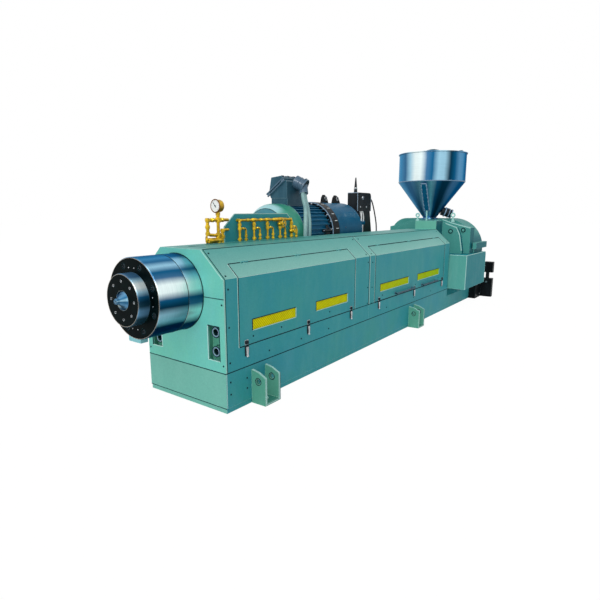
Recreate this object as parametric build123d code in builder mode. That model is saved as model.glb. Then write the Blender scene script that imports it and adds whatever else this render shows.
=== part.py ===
from build123d import *
import math
import os

os.makedirs("parts", exist_ok=True)

# A plastic extruder. X runs along the machine from the die head to the gearbox, and
# stations are distances behind the front face of the housing. Y = 0 is the middle of
# the base, the side with the covers is at negative Y, and Z = 0 is the floor.

# Base and housing
base_overhang = 60.0
base_height = 355.0
half_width = 515.0
plinth_height = 45.0
plinth_inset = 5.0
deck_drop = 130.0
housing_length = 5400.0
housing_height = 1380.0
shoulder_drop = 230.0
roof_half_width = 265.0
seam_drop = 162.0
mid_seam = 2490.0
bay_step = 1900.0
panel = 12.0
front_panel = 20.0

# Access covers
front_cover_start = 170.0
front_cover_inset = 360.0
rear_cover_offset = 150.0
rear_cover_inset = 250.0
cover_low = 545.0
cover_top_y = 397.0
cover_sheet = 6.0
cover_hem = 25.0
cover_gap = 5.0
window_shares = {
    "front": ((0.0852, 0.4102), (0.5878, 0.9168)),
    "rear": ((0.0598, 0.4211), (0.5506, 0.9155)),
}
window_low = 665.0
window_height = 100.0
grille_sheet = 3.0
grille_lap = 12.0
hinge_shares = (0.1, 0.5, 0.9)
hinge_width = 90.0
hinge_radius = 7.0
hinge_pin_radius = 3.0
hinge_pin_clearance = 0.08
hinge_lift = 8.0
hinge_leaf = 30.0
hinge_leaf_sheet = 3.0
hinge_gap = 2.0

# Latches and grips
latch_shares = {"front": (0.0434, 0.5158, 0.9566), "rear": (0.0478, 0.506, 0.9705)}
latch_width = 46.0
latch_base = 4.0
lever_low = 440.0
lever_high = 541.0
lever_width = 30.0
lever_depth = 15.0
hook_height = 46.0
hook_depth = 14.0
grip_shares = ((0.2291, 0.4829), (0.6044, 0.8578))
grip_height = 582.0
grip_radius = 9.0
grip_post_radius = 7.0
grip_reach = 42.0

# Screw, barrel and head, on one axis
axis_y = 57.0
axis_drop = 380.0
bore_radius = 80.0
screw_radius = 75.0
screw_nose_reach = 62.0
screw_nose_length = 16.0
screw_nose_radius = 21.0
screw_centre_hole_radius = 8.0
screw_centre_hole_depth = 14.0
journal_radius = 45.0
journal_clearance = 0.08
barrel_radius = 150.0
barrel_clearance = 2.0
thrust_length = 108.0
band_thickness = 30.0
band_width = 320.0
band_count = 9
band_start = 160.0
band_end_gap = 440.0
support_gap = 80.0
support_count = 3
support_thickness = 40.0
support_half_width = 190.0
support_top_share = 0.35
head_radius = 336.0
head_split = 155.0
head_length = 440.0
head_edge = 5.0
head_hole_count = 8
head_hole_radius = 24.0
head_hole_depth = 14.0
head_hole_circle = 278.0
adapter_radius = 215.0
adapter_length = 100.0
adapter_hole_count = 8
adapter_hole_radius = 10.0
adapter_hole_depth = 40.0
adapter_hole_circle = 155.0
head_box_drop = 30.0
head_box_width = 160.0
head_box_start = 435.0
head_box_end = 365.0

# Hose ports in the front panel
port_inner_y = 310.0
port_outer_y = 452.0
port_low = 450.0
port_high = 750.0
port_recess = 70.0
port_plate = 8.0
port_margin = 20.0
port_tube_radius = 46.0
port_tube_bore = 30.0
port_tube_front = 26.0
port_tube_shares = (0.24, 0.8033)

# Lifting clevises
clevis_start = 312.0
clevis_pitch = 3438.0
clevis_width = 209.0
clevis_plate = 25.0
clevis_reach = 160.0
clevis_front_height = 256.0
clevis_back_height = 311.0
clevis_hole_radius = 25.0
clevis_hole_reach = 79.0
clevis_hole_height = 212.0

# Cooling manifold on the roof, with heights above the roof
manifold_start = 785.0
manifold_end = 1935.0
manifold_rise = 284.0
manifold_left_rise = 155.0
manifold_right_rise = 180.0
manifold_left_chamfer = 153.0
manifold_right_chamfer = 115.0
manifold_sheet = 12.0
pipe_radius = 17.0
thin_pipe_radius = 13.0
pipe_y = 218.0
header_rise = 218.0
header_leg_shares = (0.1626, 0.3574, 0.5522, 0.747, 0.9365)
branch_reach = 96.0
branch_rise = 132.0
union_radius = 27.0
union_length = 30.0
gauge_header_start = 527.0
gauge_header_rise = 226.0
gauge_leg = 668.0
gauge_small_leg = 724.0
gauge_small_rise = 128.0
gauge_rise = 362.0
gauge_radius = 68.0
gauge_depth = 76.0
valve_rise = 45.0

# Motor on its stand beside the housing
motor_y = 740.0
motor_axis_rise = 437.0
motor_radius = 390.0
dome_start = 1960.0
dome_length = 352.0
body_length = 647.0
ring_length = 172.0
adaptor_length = 879.0
dome_face_radius = 225.0
fin_root_radius = 362.0
fin_count = 40
fin_thickness = 9.0
ring_radius = 426.0
adaptor_radius = 418.0
adaptor_neck = 300.0
adaptor_taper = 210.0
lug_shares = ((0.1559, 0.3766), (0.5017, 0.7679))
lug_height = 118.0
lug_thickness = 40.0
foot_shares = ((0.1669, 0.3833), (0.6615, 0.8779))
foot_half_width = 320.0
foot_height = 140.0
stand_top = 960.0
stand_start = 1990.0
stand_end = 4860.0
stand_inner_y = 300.0
stand_outer_y = 1120.0
stand_deck = 30.0
stand_leg = 120.0
stand_leg_count = 4
stand_leg_inset = 150.0
stand_inner_leg_y = 350.0
stand_outer_leg_y = 950.0
stand_rail_height = 90.0

# Terminal box, gland and conduits. The outlines are shares of the box's width and rise.
terminal_offset = 316.0
terminal_length = 344.0
terminal_near_y = 600.0
terminal_width = 268.0
terminal_ledge_rise = 463.0
terminal_rise = 286.0
terminal_rim = 12.0
terminal_base_shares = ((0.0, 0.0), (0.0, 0.7413), (0.194, 0.8531), (1.0933, 0.2168), (1.0, 0.0))
terminal_lid_shares = ((0.2127, 0.8531), (0.3358, 1.0), (0.9701, 0.9371), (1.1194, 0.2378))
terminal_flange_shares = ((0.1269, 0.8601), (0.1679, 0.9161), (1.1754, 0.2308), (1.1343, 0.1748))
gland_offset = 186.0
gland_sink = 10.0
gland_rise = 217.0
gland_drift = 43.0
gland_reach = 132.0
gland_drop = 70.0
gland_radius = 86.0
gland_rim_radius = 98.0
gland_rim_length = 34.0
mouth_drift = -39.0
mouth_reach = 5.0
mouth_drop = 90.0
gland_mouth_radius = 58.0
cable_box_start = 2240.0
cable_box_end = 2520.0
cable_box_depth = 80.0
cable_box_drop = 130.0
cable_box_height = 160.0
conduit_first_run = 75.0
conduit_offset = -22.0
conduit_radius = 29.0
conduit_points = (
    (2390.0, 385.0, 1745.0),
    (2314.0, 332.0, 1580.0),
    (2275.0, 308.0, 1405.0),
    (2275.0, 308.0, housing_height - cable_box_drop),
)
hose_offset = 29.0
hose_radius = 20.0
hose_points = (
    (2452.0, 395.0, 1745.0),
    (2408.0, 332.0, 1580.0),
    (2368.0, 306.0, 1400.0),
    (2368.0, 306.0, housing_height - cable_box_drop),
)

# Switch unit with its vent spindle, the column under it and the drive guard
switch_start = 4130.0
switch_end = 4580.0
switch_near_y = 600.0
switch_far_y = 790.0
switch_height = 298.0
switch_round = 60.0
spindle_offset = 35.0
spindle_y = 665.0
spindle_rise = 235.0
spindle_foot_radius = 30.0
spindle_tip_radius = 9.0
column_start = 4390.0
column_end = 4660.0
column_height = 732.0
column_lean = 23.0
column_top_width = 215.0
column_near_y = 620.0
column_far_y = 780.0
guard_low = 1040.0
guard_high = 1290.0
guard_near_y = 610.0
guard_far_y = 870.0
cable_radius = 11.0
cable_points = (
    (4580.0, 655.0, 1912.0),
    (4636.0, 655.0, 1912.0),
    (4712.0, 652.0, 1868.0),
    (4776.0, 648.0, 1750.0),
    (4836.0, 644.0, 1600.0),
    (4888.0, 640.0, 1440.0),
    (4888.0, 640.0, 1290.0),
)

# Feed section and gearbox. The outlines are shares of a half width and of the rise above the waist.
feed_flange = 36.0
feed_length = 314.0
flange_thickness = 100.0
shoulder_length = 230.0
gearbox_length = 520.0
feed_near_y = 240.0
feed_far_y = 145.0
feed_drop = 37.0
lower_half_width = 357.0
waist_height = 950.0
flange_half_width = 614.0
flange_rise = 580.0
flange_shares = ((1.0, 0.0), (1.0, 0.0862), (0.9186, 0.569), (0.8192, 0.7914), (0.4837, 0.9138), (0.2443, 1.0))
shoulder_half_width = 715.0
shoulder_rise = 595.0
shoulder_shares = ((1.0, 0.0), (1.0, 0.7597), (0.5594, 0.8874), (0.2895, 1.0))
gearbox_near_y = 735.0
gearbox_far_y = 905.0
gearbox_rise = 610.0
gearbox_near_round = 555.0
gearbox_far_round = 312.0
boss_radius = 34.0
boss_length = 14.0
flange_boss_share = (0.6498, 0.669)
shoulder_boss_share = (0.8252, 0.6891)
side_box_gap = 50.0
side_box_overhang = 20.0
side_box_outer_y = 800.0
side_box_inner_y = 300.0
side_box_drop = 5.0
side_box_edge = 30.0
duct_setback = 115.0
duct_overhang = 40.0
duct_low = 1026.0
duct_high = 1134.0
duct_outer_y = 800.0

# Hopper
hopper_setback = 30.0
hopper_radius = 588.0
hopper_sheet = 8.0
hopper_foot_radius = 150.0
hopper_throat_radius = 105.0
hopper_foot_height = 27.0
hopper_cone_height = 633.0
hopper_cylinder_height = 485.0
hopper_rim = 14.0
lid_rise = 70.0
lid_knob_radius = 40.0
lid_knob_height = 18.0
strip_width = 95.0
strip_depth = 26.0
strip_low_share = 0.2
strip_high_share = 0.93
strip_turn = -172.0
feeder_share = 0.2
feeder_radius = 76.0
feeder_length = 190.0
feeder_turn = -60.0
feeder_tilt = 18.0

# Oil pump and its sump behind the base
pump_length = 370.0
pump_near_y = 641.0
pump_far_y = 330.0
pump_height = 332.0
sump_length = 100.0
sump_near_y = 845.0
sump_height = 372.0
neck_radius = 34.0
cap_length = 160.0
cap_low = 490.0
cap_high = 700.0

feed_start = housing_length + feed_flange
flange_start = feed_start + feed_length
flange_end = flange_start + flange_thickness
shoulder_end = flange_end + shoulder_length
gearbox_end = shoulder_end + gearbox_length
side_box_start = housing_length + side_box_gap
side_box_end = gearbox_end + side_box_overhang
side_box_top = waist_height - side_box_drop
duct_start = flange_end + duct_setback
duct_end = gearbox_end + duct_overhang
hopper_station = flange_end + hopper_setback
base_length = side_box_end + base_overhang
pump_end = base_length + pump_length
sump_end = pump_end + sump_length
front_x = -base_length / 2
overrun = 50.0
corner_share = 0.45
shoulder_height = housing_height - shoulder_drop
front_seam_height = shoulder_height - seam_drop
axis_z = housing_height - axis_drop
slope = shoulder_drop / (half_width - roof_half_width)
slope_angle = math.atan(slope)
nose_station = -head_length - adapter_length - screw_nose_reach
rear_panel_start = housing_length - panel
thrust_start = rear_panel_start - thrust_length
cover_spans = {
    "front": (front_cover_start, mid_seam - front_cover_inset),
    "rear": (mid_seam + rear_cover_offset, housing_length - rear_cover_inset),
}
body_start = dome_start + dome_length
ring_start = body_start + body_length
ring_end = ring_start + ring_length
adaptor_end = ring_end + adaptor_length
motor_z = stand_top + motor_axis_rise


def between(span, share):
    """The place at a share of the way along a span."""
    return span[0] + share * (span[1] - span[0])


def shares_at(low_corner, size, shares):
    """Outline points from their shares of a width and a height."""
    return [(low_corner[0] + across * size[0], low_corner[1] + up * size[1]) for across, up in shares]


def cross(station):
    """A plane across the machine: its x is Y, its y is Z, and it faces the gearbox."""
    return Plane(origin=(front_x + station, 0, 0), x_dir=(0, 1, 0), z_dir=(1, 0, 0))


def upright(y):
    """A plane along the machine: its x is the station, its y is Z, and it faces -Y."""
    return Plane(origin=(front_x, y, 0), x_dir=(1, 0, 0), z_dir=(0, -1, 0))


def outline(plane, points):
    """A flat face with straight sides through the points."""
    with BuildSketch(plane) as shape:
        with BuildLine():
            Polyline(*points, close=True)
        make_face()
    return shape.sketch


def block(x_span, y_span, z_span, mode=Mode.ADD):
    """A box between two stations, two Y values and two heights."""
    with Locations((front_x + x_span[0], y_span[0], z_span[0])):
        Box(
            x_span[1] - x_span[0],
            y_span[1] - y_span[0],
            z_span[1] - z_span[0],
            align=(Align.MIN, Align.MIN, Align.MIN),
            mode=mode,
        )


def rod(start, end, radius, end_radius=None, mode=Mode.ADD):
    """A round bar between two points given as (station, y, z), or a cone if it tapers."""
    first = Vector(front_x + start[0], start[1], start[2])
    last = Vector(front_x + end[0], end[1], end[2])
    along = last - first
    align = (Align.CENTER, Align.CENTER, Align.MIN)
    with Locations(Plane(origin=first, z_dir=along)):
        if end_radius is None:
            Cylinder(radius, along.length, align=align, mode=mode)
        else:
            Cone(radius, end_radius, along.length, align=align, mode=mode)


def shaft(start, end, radius, end_radius=None, mode=Mode.ADD):
    """A round bar on the screw axis."""
    rod((start, axis_y, axis_z), (end, axis_y, axis_z), radius, end_radius, mode)


def motor_bar(start, end, radius, end_radius=None, mode=Mode.ADD):
    """A round bar on the motor axis."""
    rod((start, motor_y, motor_z), (end, motor_y, motor_z), radius, end_radius, mode)


def save(piece, label):
    """Name a finished piece and write its file."""
    piece.part.label = label
    export_step(piece.part, f"parts/{label}.step")


def roof_at(y):
    """The height of the sloping shoulder's outer face at a distance from the middle."""
    return shoulder_height + (half_width - abs(y)) * slope


def bent_points(thickness, low, top_y, side):
    """The section of a bent sheet: up the side, over the shoulder and along the slope."""
    drop = thickness / math.cos(slope_angle)
    inner = half_width - thickness
    points = [
        (half_width, low),
        (half_width, shoulder_height),
        (top_y, roof_at(top_y)),
        (top_y, roof_at(top_y) - drop),
        (inner, roof_at(inner) - drop),
        (inner, low),
    ]
    return [(side * y, z) for y, z in points]


def slope_point(down, out):
    """A point (y, z) by its distance down the slope from the opening's upper edge, and out of it."""
    y = -cover_top_y - down * math.cos(slope_angle) - out * math.sin(slope_angle)
    z = roof_at(cover_top_y) - down * math.sin(slope_angle) + out * math.cos(slope_angle)
    return (y, z)


def cover_points(thickness):
    """The section of a cover, clear of its opening below and above."""
    inner = half_width - thickness
    drop = thickness / math.cos(slope_angle)
    return [
        (-half_width, cover_low + cover_gap),
        (-half_width, shoulder_height),
        slope_point(cover_gap, 0),
        slope_point(cover_gap, -thickness),
        (-inner, roof_at(inner) - drop),
        (-inner, cover_low + cover_gap),
    ]


# Base frame, with a lower deck under the side box
with BuildPart() as base_frame:
    block((0, base_length), (-half_width, half_width), (plinth_height, base_height))
    block(
        (plinth_inset, base_length - plinth_inset),
        (-half_width + plinth_inset, half_width - plinth_inset),
        (0, plinth_height),
    )
    block(
        (housing_length, base_length + overrun),
        (-half_width - overrun, -side_box_inner_y),
        (base_height - deck_drop, base_height + overrun),
        mode=Mode.SUBTRACT,
    )
save(base_frame, "base_frame")

# Front panels
upper_front_points = [
    (-half_width, front_seam_height),
    (-half_width, shoulder_height),
    (-roof_half_width, housing_height),
    (roof_half_width, housing_height),
    (half_width, shoulder_height),
    (half_width, front_seam_height),
]
lower_front_points = [
    (-half_width, base_height),
    (-half_width, front_seam_height),
    (half_width, front_seam_height),
    (half_width, base_height),
]
with BuildPart() as front_panel_upper:
    extrude(outline(cross(0), upper_front_points), amount=front_panel)
    shaft(-overrun, overrun, barrel_radius + barrel_clearance, mode=Mode.SUBTRACT)
save(front_panel_upper, "front_panel_upper")

with BuildPart() as front_panel_lower:
    extrude(outline(cross(0), lower_front_points), amount=front_panel)
    shaft(-overrun, overrun, barrel_radius + barrel_clearance, mode=Mode.SUBTRACT)
    for y_span in ((-port_outer_y, -port_inner_y), (port_inner_y, port_outer_y)):
        block((-overrun, overrun), y_span, (port_low, port_high), mode=Mode.SUBTRACT)
save(front_panel_lower, "front_panel_lower")

# Hose ports: two tubes on a plate behind each window of the front panel
port_half = (port_outer_y - port_inner_y) / 2 + port_margin
with BuildPart() as hose_ports:
    for side in (-1, 1):
        middle = side * (port_inner_y + port_outer_y) / 2
        port_span = (port_low - port_margin, port_high + port_margin)
        block(
            (port_recess, port_recess + port_plate),
            (middle - port_half, middle + port_half),
            port_span,
        )
        for rib in (middle - port_half, middle + port_half - port_plate):
            block((front_panel, port_recess), (rib, rib + port_plate), port_span)
        for share in port_tube_shares:
            height = between((port_low, port_high), share)
            rod((port_tube_front, middle, height), (port_recess, middle, height), port_tube_radius)
            rod(
                (port_tube_front, middle, height),
                (port_recess + port_plate, middle, height),
                port_tube_bore,
                mode=Mode.SUBTRACT,
            )
save(hose_ports, "hose_ports")

# Near side panels, each with the opening for its cover
opening_points = [
    (-half_width - overrun, cover_low),
    (-half_width - overrun, shoulder_height + overrun),
    slope_point(0, overrun),
    slope_point(0, -overrun),
    (-half_width + overrun, cover_low),
]
near_panels = {"front": (front_panel, mid_seam), "rear": (mid_seam, rear_panel_start)}
for name, span in near_panels.items():
    cover_start, cover_end = cover_spans[name]
    with BuildPart() as near_panel:
        extrude(
            outline(cross(span[0]), bent_points(panel, base_height, roof_half_width, -1)),
            amount=span[1] - span[0],
        )
        extrude(
            outline(cross(cover_start), opening_points),
            amount=cover_end - cover_start,
            mode=Mode.SUBTRACT,
        )
    save(near_panel, f"near_side_{name}")

# Roof, far side and rear panels
with BuildPart() as roof_panel:
    block(
        (front_panel, rear_panel_start),
        (-roof_half_width, roof_half_width),
        (housing_height - panel, housing_height),
    )
save(roof_panel, "roof_panel")

step_points = [
    (roof_half_width - panel, base_height),
    (half_width, base_height),
    (half_width, shoulder_height),
    (roof_half_width, housing_height),
    (roof_half_width, housing_height - panel),
    (roof_half_width - panel, housing_height - panel),
]
cable_box_high = housing_height - cable_box_drop
with BuildPart() as far_side_panels:
    extrude(
        outline(cross(front_panel), bent_points(panel, base_height, roof_half_width, 1)),
        amount=bay_step - front_panel,
    )
    extrude(outline(cross(bay_step), step_points), amount=panel)
    block(
        (bay_step + panel, rear_panel_start),
        (roof_half_width - panel, roof_half_width),
        (base_height, housing_height - panel),
    )
    block(
        (cable_box_start, cable_box_end),
        (roof_half_width, roof_half_width + cable_box_depth),
        (cable_box_high - cable_box_height, cable_box_high),
    )
save(far_side_panels, "far_side_panels")

rear_points = [
    (-half_width, base_height),
    (-half_width, shoulder_height),
    (-roof_half_width, housing_height),
    (roof_half_width, housing_height),
    (roof_half_width, base_height),
]
with BuildPart() as rear_panel:
    extrude(outline(cross(rear_panel_start), rear_points), amount=panel)
save(rear_panel, "rear_panel")

# Access covers with their grilles, hinges, latches and grips
hinge_third = (hinge_width - 2 * hinge_gap) / 3
hinge_y, hinge_z = slope_point(cover_gap, hinge_lift)


def hinge_centres(name):
    """The stations of a cover's hinges."""
    return [between(cover_spans[name], share) for share in hinge_shares]


def hinge_leaf_points(first, last):
    """The section of a hinge leaf lying on the slope, between two distances from the pin."""
    return [
        slope_point(cover_gap + first, 0),
        slope_point(cover_gap + last, 0),
        slope_point(cover_gap + last, hinge_leaf_sheet),
        slope_point(cover_gap + first, hinge_leaf_sheet),
    ]


for name, (start, end) in cover_spans.items():
    windows = [[between((start, end), share) for share in shares] for shares in window_shares[name]]
    with BuildPart() as cover:
        first = start + cover_gap
        last = end - cover_gap
        extrude(outline(cross(first), cover_points(cover_sheet)), amount=last - first)
        for hem_start in (first, last - cover_sheet):
            extrude(outline(cross(hem_start), cover_points(cover_hem)), amount=cover_sheet)
        block(
            (first, last),
            (-half_width, -half_width + cover_hem),
            (cover_low + cover_gap, cover_low + cover_gap + cover_sheet),
        )
        for window in windows:
            block(
                window,
                (-half_width - overrun, -half_width + overrun),
                (window_low, window_low + window_height),
                mode=Mode.SUBTRACT,
            )
        for centre in hinge_centres(name):
            knuckle = (centre - hinge_third / 2, centre + hinge_third / 2)
            extrude(
                outline(cross(knuckle[0]), hinge_leaf_points(0, hinge_leaf)),
                amount=hinge_third,
            )
            rod((knuckle[0], hinge_y, hinge_z), (knuckle[1], hinge_y, hinge_z), hinge_radius)
            rod(
                (knuckle[0] - overrun, hinge_y, hinge_z),
                (knuckle[1] + overrun, hinge_y, hinge_z),
                hinge_pin_radius + hinge_pin_clearance,
                mode=Mode.SUBTRACT,
            )
    save(cover, f"{name}_cover")

    with BuildPart() as grilles:
        for window in windows:
            block(
                (window[0] - grille_lap, window[1] + grille_lap),
                (-half_width + cover_sheet, -half_width + cover_sheet + grille_sheet),
                (window_low - grille_lap, window_low + window_height + grille_lap),
            )
    save(grilles, f"{name}_cover_grilles")

    with BuildPart() as hooks:
        hook_low = cover_low + cover_gap
        for share in latch_shares[name]:
            station = between((start, end), share)
            block(
                (station - latch_width / 2, station + latch_width / 2),
                (-half_width - latch_base, -half_width),
                (hook_low, hook_low + hook_height),
            )
            block(
                (station - lever_width / 2, station + lever_width / 2),
                (-half_width - hook_depth, -half_width - latch_base),
                (hook_low, hook_low + hook_height / 2),
            )
    save(hooks, f"{name}_latch_hooks")

with BuildPart() as cover_hinges:
    for name in cover_spans:
        for centre in hinge_centres(name):
            left = centre - hinge_width / 2
            right = centre + hinge_width / 2
            for end_start in (left, right - hinge_third):
                extrude(
                    outline(cross(end_start), hinge_leaf_points(-hinge_leaf, 0)),
                    amount=hinge_third,
                )
                rod(
                    (end_start, hinge_y, hinge_z),
                    (end_start + hinge_third, hinge_y, hinge_z),
                    hinge_radius,
                )
            rod((left, hinge_y, hinge_z), (right, hinge_y, hinge_z), hinge_pin_radius)
save(cover_hinges, "cover_hinges")

with BuildPart() as latch_levers:
    for station in [between(cover_spans[name], share) for name in cover_spans for share in latch_shares[name]]:
        block(
            (station - latch_width / 2, station + latch_width / 2),
            (-half_width - latch_base, -half_width),
            ((lever_low + lever_high) / 2, lever_high),
        )
        block(
            (station - lever_width / 2, station + lever_width / 2),
            (-half_width - lever_depth, -half_width - latch_base),
            (lever_low, lever_high),
        )
save(latch_levers, "latch_levers")

with BuildPart() as grips:
    grip_y = -half_width - grip_reach
    for shares in grip_shares:
        start, end = [between(cover_spans["rear"], share) for share in shares]
        rod((start, grip_y, grip_height), (end, grip_y, grip_height), grip_radius)
        for station in (start + grip_reach, end - grip_reach):
            rod((station, grip_y, grip_height), (station, -half_width, grip_height), grip_post_radius)
save(grips, "rear_cover_grips")

# Barrel, heater bands and supports inside the housing
with BuildPart() as barrel:
    shaft(0, rear_panel_start, barrel_radius)
    shaft(-overrun, thrust_start, bore_radius, mode=Mode.SUBTRACT)
    shaft(
        thrust_start,
        rear_panel_start + overrun,
        journal_radius + journal_clearance,
        mode=Mode.SUBTRACT,
    )
save(barrel, "barrel")

band_pitch = (housing_length - band_start - band_width - band_end_gap) / (band_count - 1)
band_starts = [band_start + number * band_pitch for number in range(band_count)]
with BuildPart() as heater_bands:
    for start in band_starts:
        shaft(start, start + band_width, barrel_radius + band_thickness)
    shaft(-overrun, housing_length, barrel_radius, mode=Mode.SUBTRACT)
save(heater_bands, "heater_bands")

with BuildPart() as barrel_supports:
    for start in band_starts[:: (band_count - 1) // (support_count - 1)]:
        station = start + band_width + support_gap
        block(
            (station, station + support_thickness),
            (axis_y - support_half_width, axis_y + support_half_width),
            (base_height, axis_z - support_top_share * barrel_radius),
        )
    shaft(-overrun, housing_length, barrel_radius, mode=Mode.SUBTRACT)
save(barrel_supports, "barrel_supports")

# Screw: a plain core, a conical tip and a journal in the barrel's rear end
with BuildPart() as screw:
    cone_start = nose_station + screw_nose_length
    cone_end = -head_length - adapter_length + screw_nose_reach / 2
    screw_end = thrust_start - cover_gap
    shaft(cone_end, screw_end, screw_radius)
    shaft(cone_start, cone_end, screw_nose_radius, screw_radius)
    shaft(nose_station, cone_start, screw_nose_radius)
    shaft(
        nose_station,
        nose_station + screw_centre_hole_depth,
        screw_centre_hole_radius,
        mode=Mode.SUBTRACT,
    )
    shaft(screw_end, rear_panel_start - cover_gap, journal_radius)
save(screw, "screw")

# Head: two rings and the die adapter
with BuildPart() as head_rear_ring:
    shaft(-head_split, 0, head_radius)
    chamfer(head_rear_ring.faces().filter_by(Axis.X).sort_by(Axis.X)[0].edges(), head_edge)
    shaft(-head_length, overrun, bore_radius, mode=Mode.SUBTRACT)
save(head_rear_ring, "head_rear_ring")

with BuildPart() as head_front_ring:
    shaft(-head_length, -head_split, head_radius)
    for face in head_front_ring.faces().filter_by(Axis.X):
        chamfer(face.edges(), head_edge)
    shaft(-head_length - overrun, overrun, bore_radius, mode=Mode.SUBTRACT)
    for number in range(head_hole_count):
        angle = (number + 1 / 2) * 2 * math.pi / head_hole_count
        y = axis_y + head_hole_circle * math.cos(angle)
        z = axis_z + head_hole_circle * math.sin(angle)
        rod(
            (-head_length - overrun, y, z),
            (-head_length + head_hole_depth, y, z),
            head_hole_radius,
            mode=Mode.SUBTRACT,
        )
save(head_front_ring, "head_front_ring")

adapter_face = -head_length - adapter_length
with BuildPart() as die_adapter:
    shaft(adapter_face, -head_length, adapter_radius)
    chamfer(die_adapter.faces().filter_by(Axis.X).sort_by(Axis.X)[0].edges(), head_edge)
    shaft(adapter_face - overrun, overrun, bore_radius, mode=Mode.SUBTRACT)
    for number in range(adapter_hole_count):
        angle = number * 2 * math.pi / adapter_hole_count
        y = axis_y + adapter_hole_circle * math.cos(angle)
        z = axis_z + adapter_hole_circle * math.sin(angle)
        rod(
            (adapter_face - overrun, y, z),
            (adapter_face + adapter_hole_depth, y, z),
            adapter_hole_radius,
            mode=Mode.SUBTRACT,
        )
save(die_adapter, "die_adapter")

with BuildPart() as head_junction_box:
    block(
        (-head_box_start, -head_box_end),
        (axis_y + axis_y / 2 - head_box_width / 2, axis_y + axis_y / 2 + head_box_width / 2),
        (axis_z - head_radius - head_box_drop, axis_z - head_radius + overrun),
    )
    shaft(-head_length, 0, head_radius, mode=Mode.SUBTRACT)
save(head_junction_box, "head_junction_box")

# Lifting clevises: two eyed plates on a bottom plate, near and far, front and rear
clevis_points = [
    (0, 0),
    (clevis_reach, 0),
    (clevis_reach, clevis_front_height),
    (clevis_reach / 2, (clevis_front_height + clevis_back_height) / 2 + clevis_plate / 2),
    (0, clevis_back_height),
]
with BuildPart() as clevises:
    for side in (-1, 1):
        points = [(side * (half_width + reach), height) for reach, height in clevis_points]
        eye_y = side * (half_width + clevis_hole_reach)
        for station in (clevis_start, clevis_start + clevis_pitch):
            for plate_start in (station, station + clevis_width - clevis_plate):
                extrude(outline(cross(plate_start), points), amount=clevis_plate)
            block(
                (station, station + clevis_width),
                sorted((side * half_width, side * (half_width + clevis_reach))),
                (0, clevis_plate),
            )
            rod(
                (station - overrun, eye_y, clevis_hole_height),
                (station + clevis_width + overrun, eye_y, clevis_hole_height),
                clevis_hole_radius,
                mode=Mode.SUBTRACT,
            )
save(clevises, "clevises")

# Cooling manifold: a plate on the far edge of the roof with brass piping in front of it
manifold_points = [
    (manifold_start, housing_height),
    (manifold_start, housing_height + manifold_left_rise),
    (manifold_start + manifold_left_chamfer, housing_height + manifold_rise),
    (manifold_end - manifold_right_chamfer, housing_height + manifold_rise),
    (manifold_end, housing_height + manifold_right_rise),
    (manifold_end, housing_height),
]
header_height = housing_height + header_rise
branch_height = housing_height + branch_rise
gauge_header_height = housing_height + gauge_header_rise
gauge_small_height = housing_height + gauge_small_rise
gauge_height = housing_height + gauge_rise
with BuildPart() as manifold_plate:
    extrude(outline(upright(roof_half_width), manifold_points), amount=manifold_sheet)
save(manifold_plate, "manifold_plate")


def pipe(points, radius):
    """Straight pipe runs through the points, with round elbows."""
    for start, end in zip(points, points[1:]):
        rod(start, end, radius)
    for x, y, z in points[1:-1]:
        with Locations((front_x + x, y, z)):
            Sphere(radius)


def union(station, height):
    """A pipe union: a short thick collar on an upright pipe."""
    rod(
        (station, pipe_y, height - union_length / 2),
        (station, pipe_y, height + union_length / 2),
        union_radius,
    )


with BuildPart() as brass_manifold:
    header_legs = [between((manifold_start, manifold_end), share) for share in header_leg_shares]
    header_ends = (header_legs[0], header_legs[-1])
    pipe([(x, pipe_y, header_height) for x in header_ends], pipe_radius)
    for leg in header_legs:
        with Locations((front_x + leg, pipe_y, header_height)):
            Sphere(union_radius)
        pipe([(leg, pipe_y, header_height), (leg, pipe_y, housing_height)], pipe_radius)
        union(leg, branch_height)
        union(leg, housing_height + union_length / 2)
        branch = leg + branch_reach
        pipe(
            [(leg, pipe_y, branch_height), (branch, pipe_y, branch_height), (branch, pipe_y, housing_height)],
            thin_pipe_radius,
        )
        union(branch, housing_height + union_length / 2)
    for x in header_ends:
        rod((x, pipe_y, header_height), (x, roof_half_width - manifold_sheet, header_height), pipe_radius)
save(brass_manifold, "brass_manifold")

with BuildPart() as gauge_piping:
    pipe(
        [
            (gauge_header_start, pipe_y, housing_height),
            (gauge_header_start, pipe_y, gauge_header_height),
            (manifold_start + pipe_radius, pipe_y, gauge_header_height),
        ],
        pipe_radius,
    )
    rod(
        (manifold_start + union_radius, pipe_y, gauge_small_height),
        (manifold_start + union_radius, roof_half_width - manifold_sheet, gauge_small_height),
        pipe_radius,
    )
    pipe(
        [
            (manifold_start + union_radius, pipe_y, gauge_header_height),
            (manifold_start + union_radius, pipe_y, gauge_small_height),
            (gauge_small_leg, pipe_y, gauge_small_height),
            (gauge_small_leg, pipe_y, housing_height),
        ],
        pipe_radius,
    )
    pipe(
        [(gauge_leg, pipe_y, gauge_height - gauge_radius), (gauge_leg, pipe_y, housing_height)],
        pipe_radius,
    )
    union(gauge_leg, housing_height + (gauge_small_rise + valve_rise) / 2)
    union(gauge_leg, housing_height + union_length / 2)
    union(gauge_header_start, housing_height + union_length / 2)
save(gauge_piping, "gauge_piping")

with BuildPart() as pressure_gauge:
    rod(
        (gauge_leg - gauge_depth / 2, pipe_y, gauge_height),
        (gauge_leg + gauge_depth / 2, pipe_y, gauge_height),
        gauge_radius,
    )
save(pressure_gauge, "pressure_gauge")

# Motor: end dome, finned body, bolted ring and adaptor
with BuildPart() as motor_dome:
    motor_bar(dome_start, body_start, motor_radius)
    fillet(
        motor_dome.faces().filter_by(Axis.X).sort_by(Axis.X)[0].edges(),
        motor_radius - dome_face_radius,
    )
save(motor_dome, "motor_dome")

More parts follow.
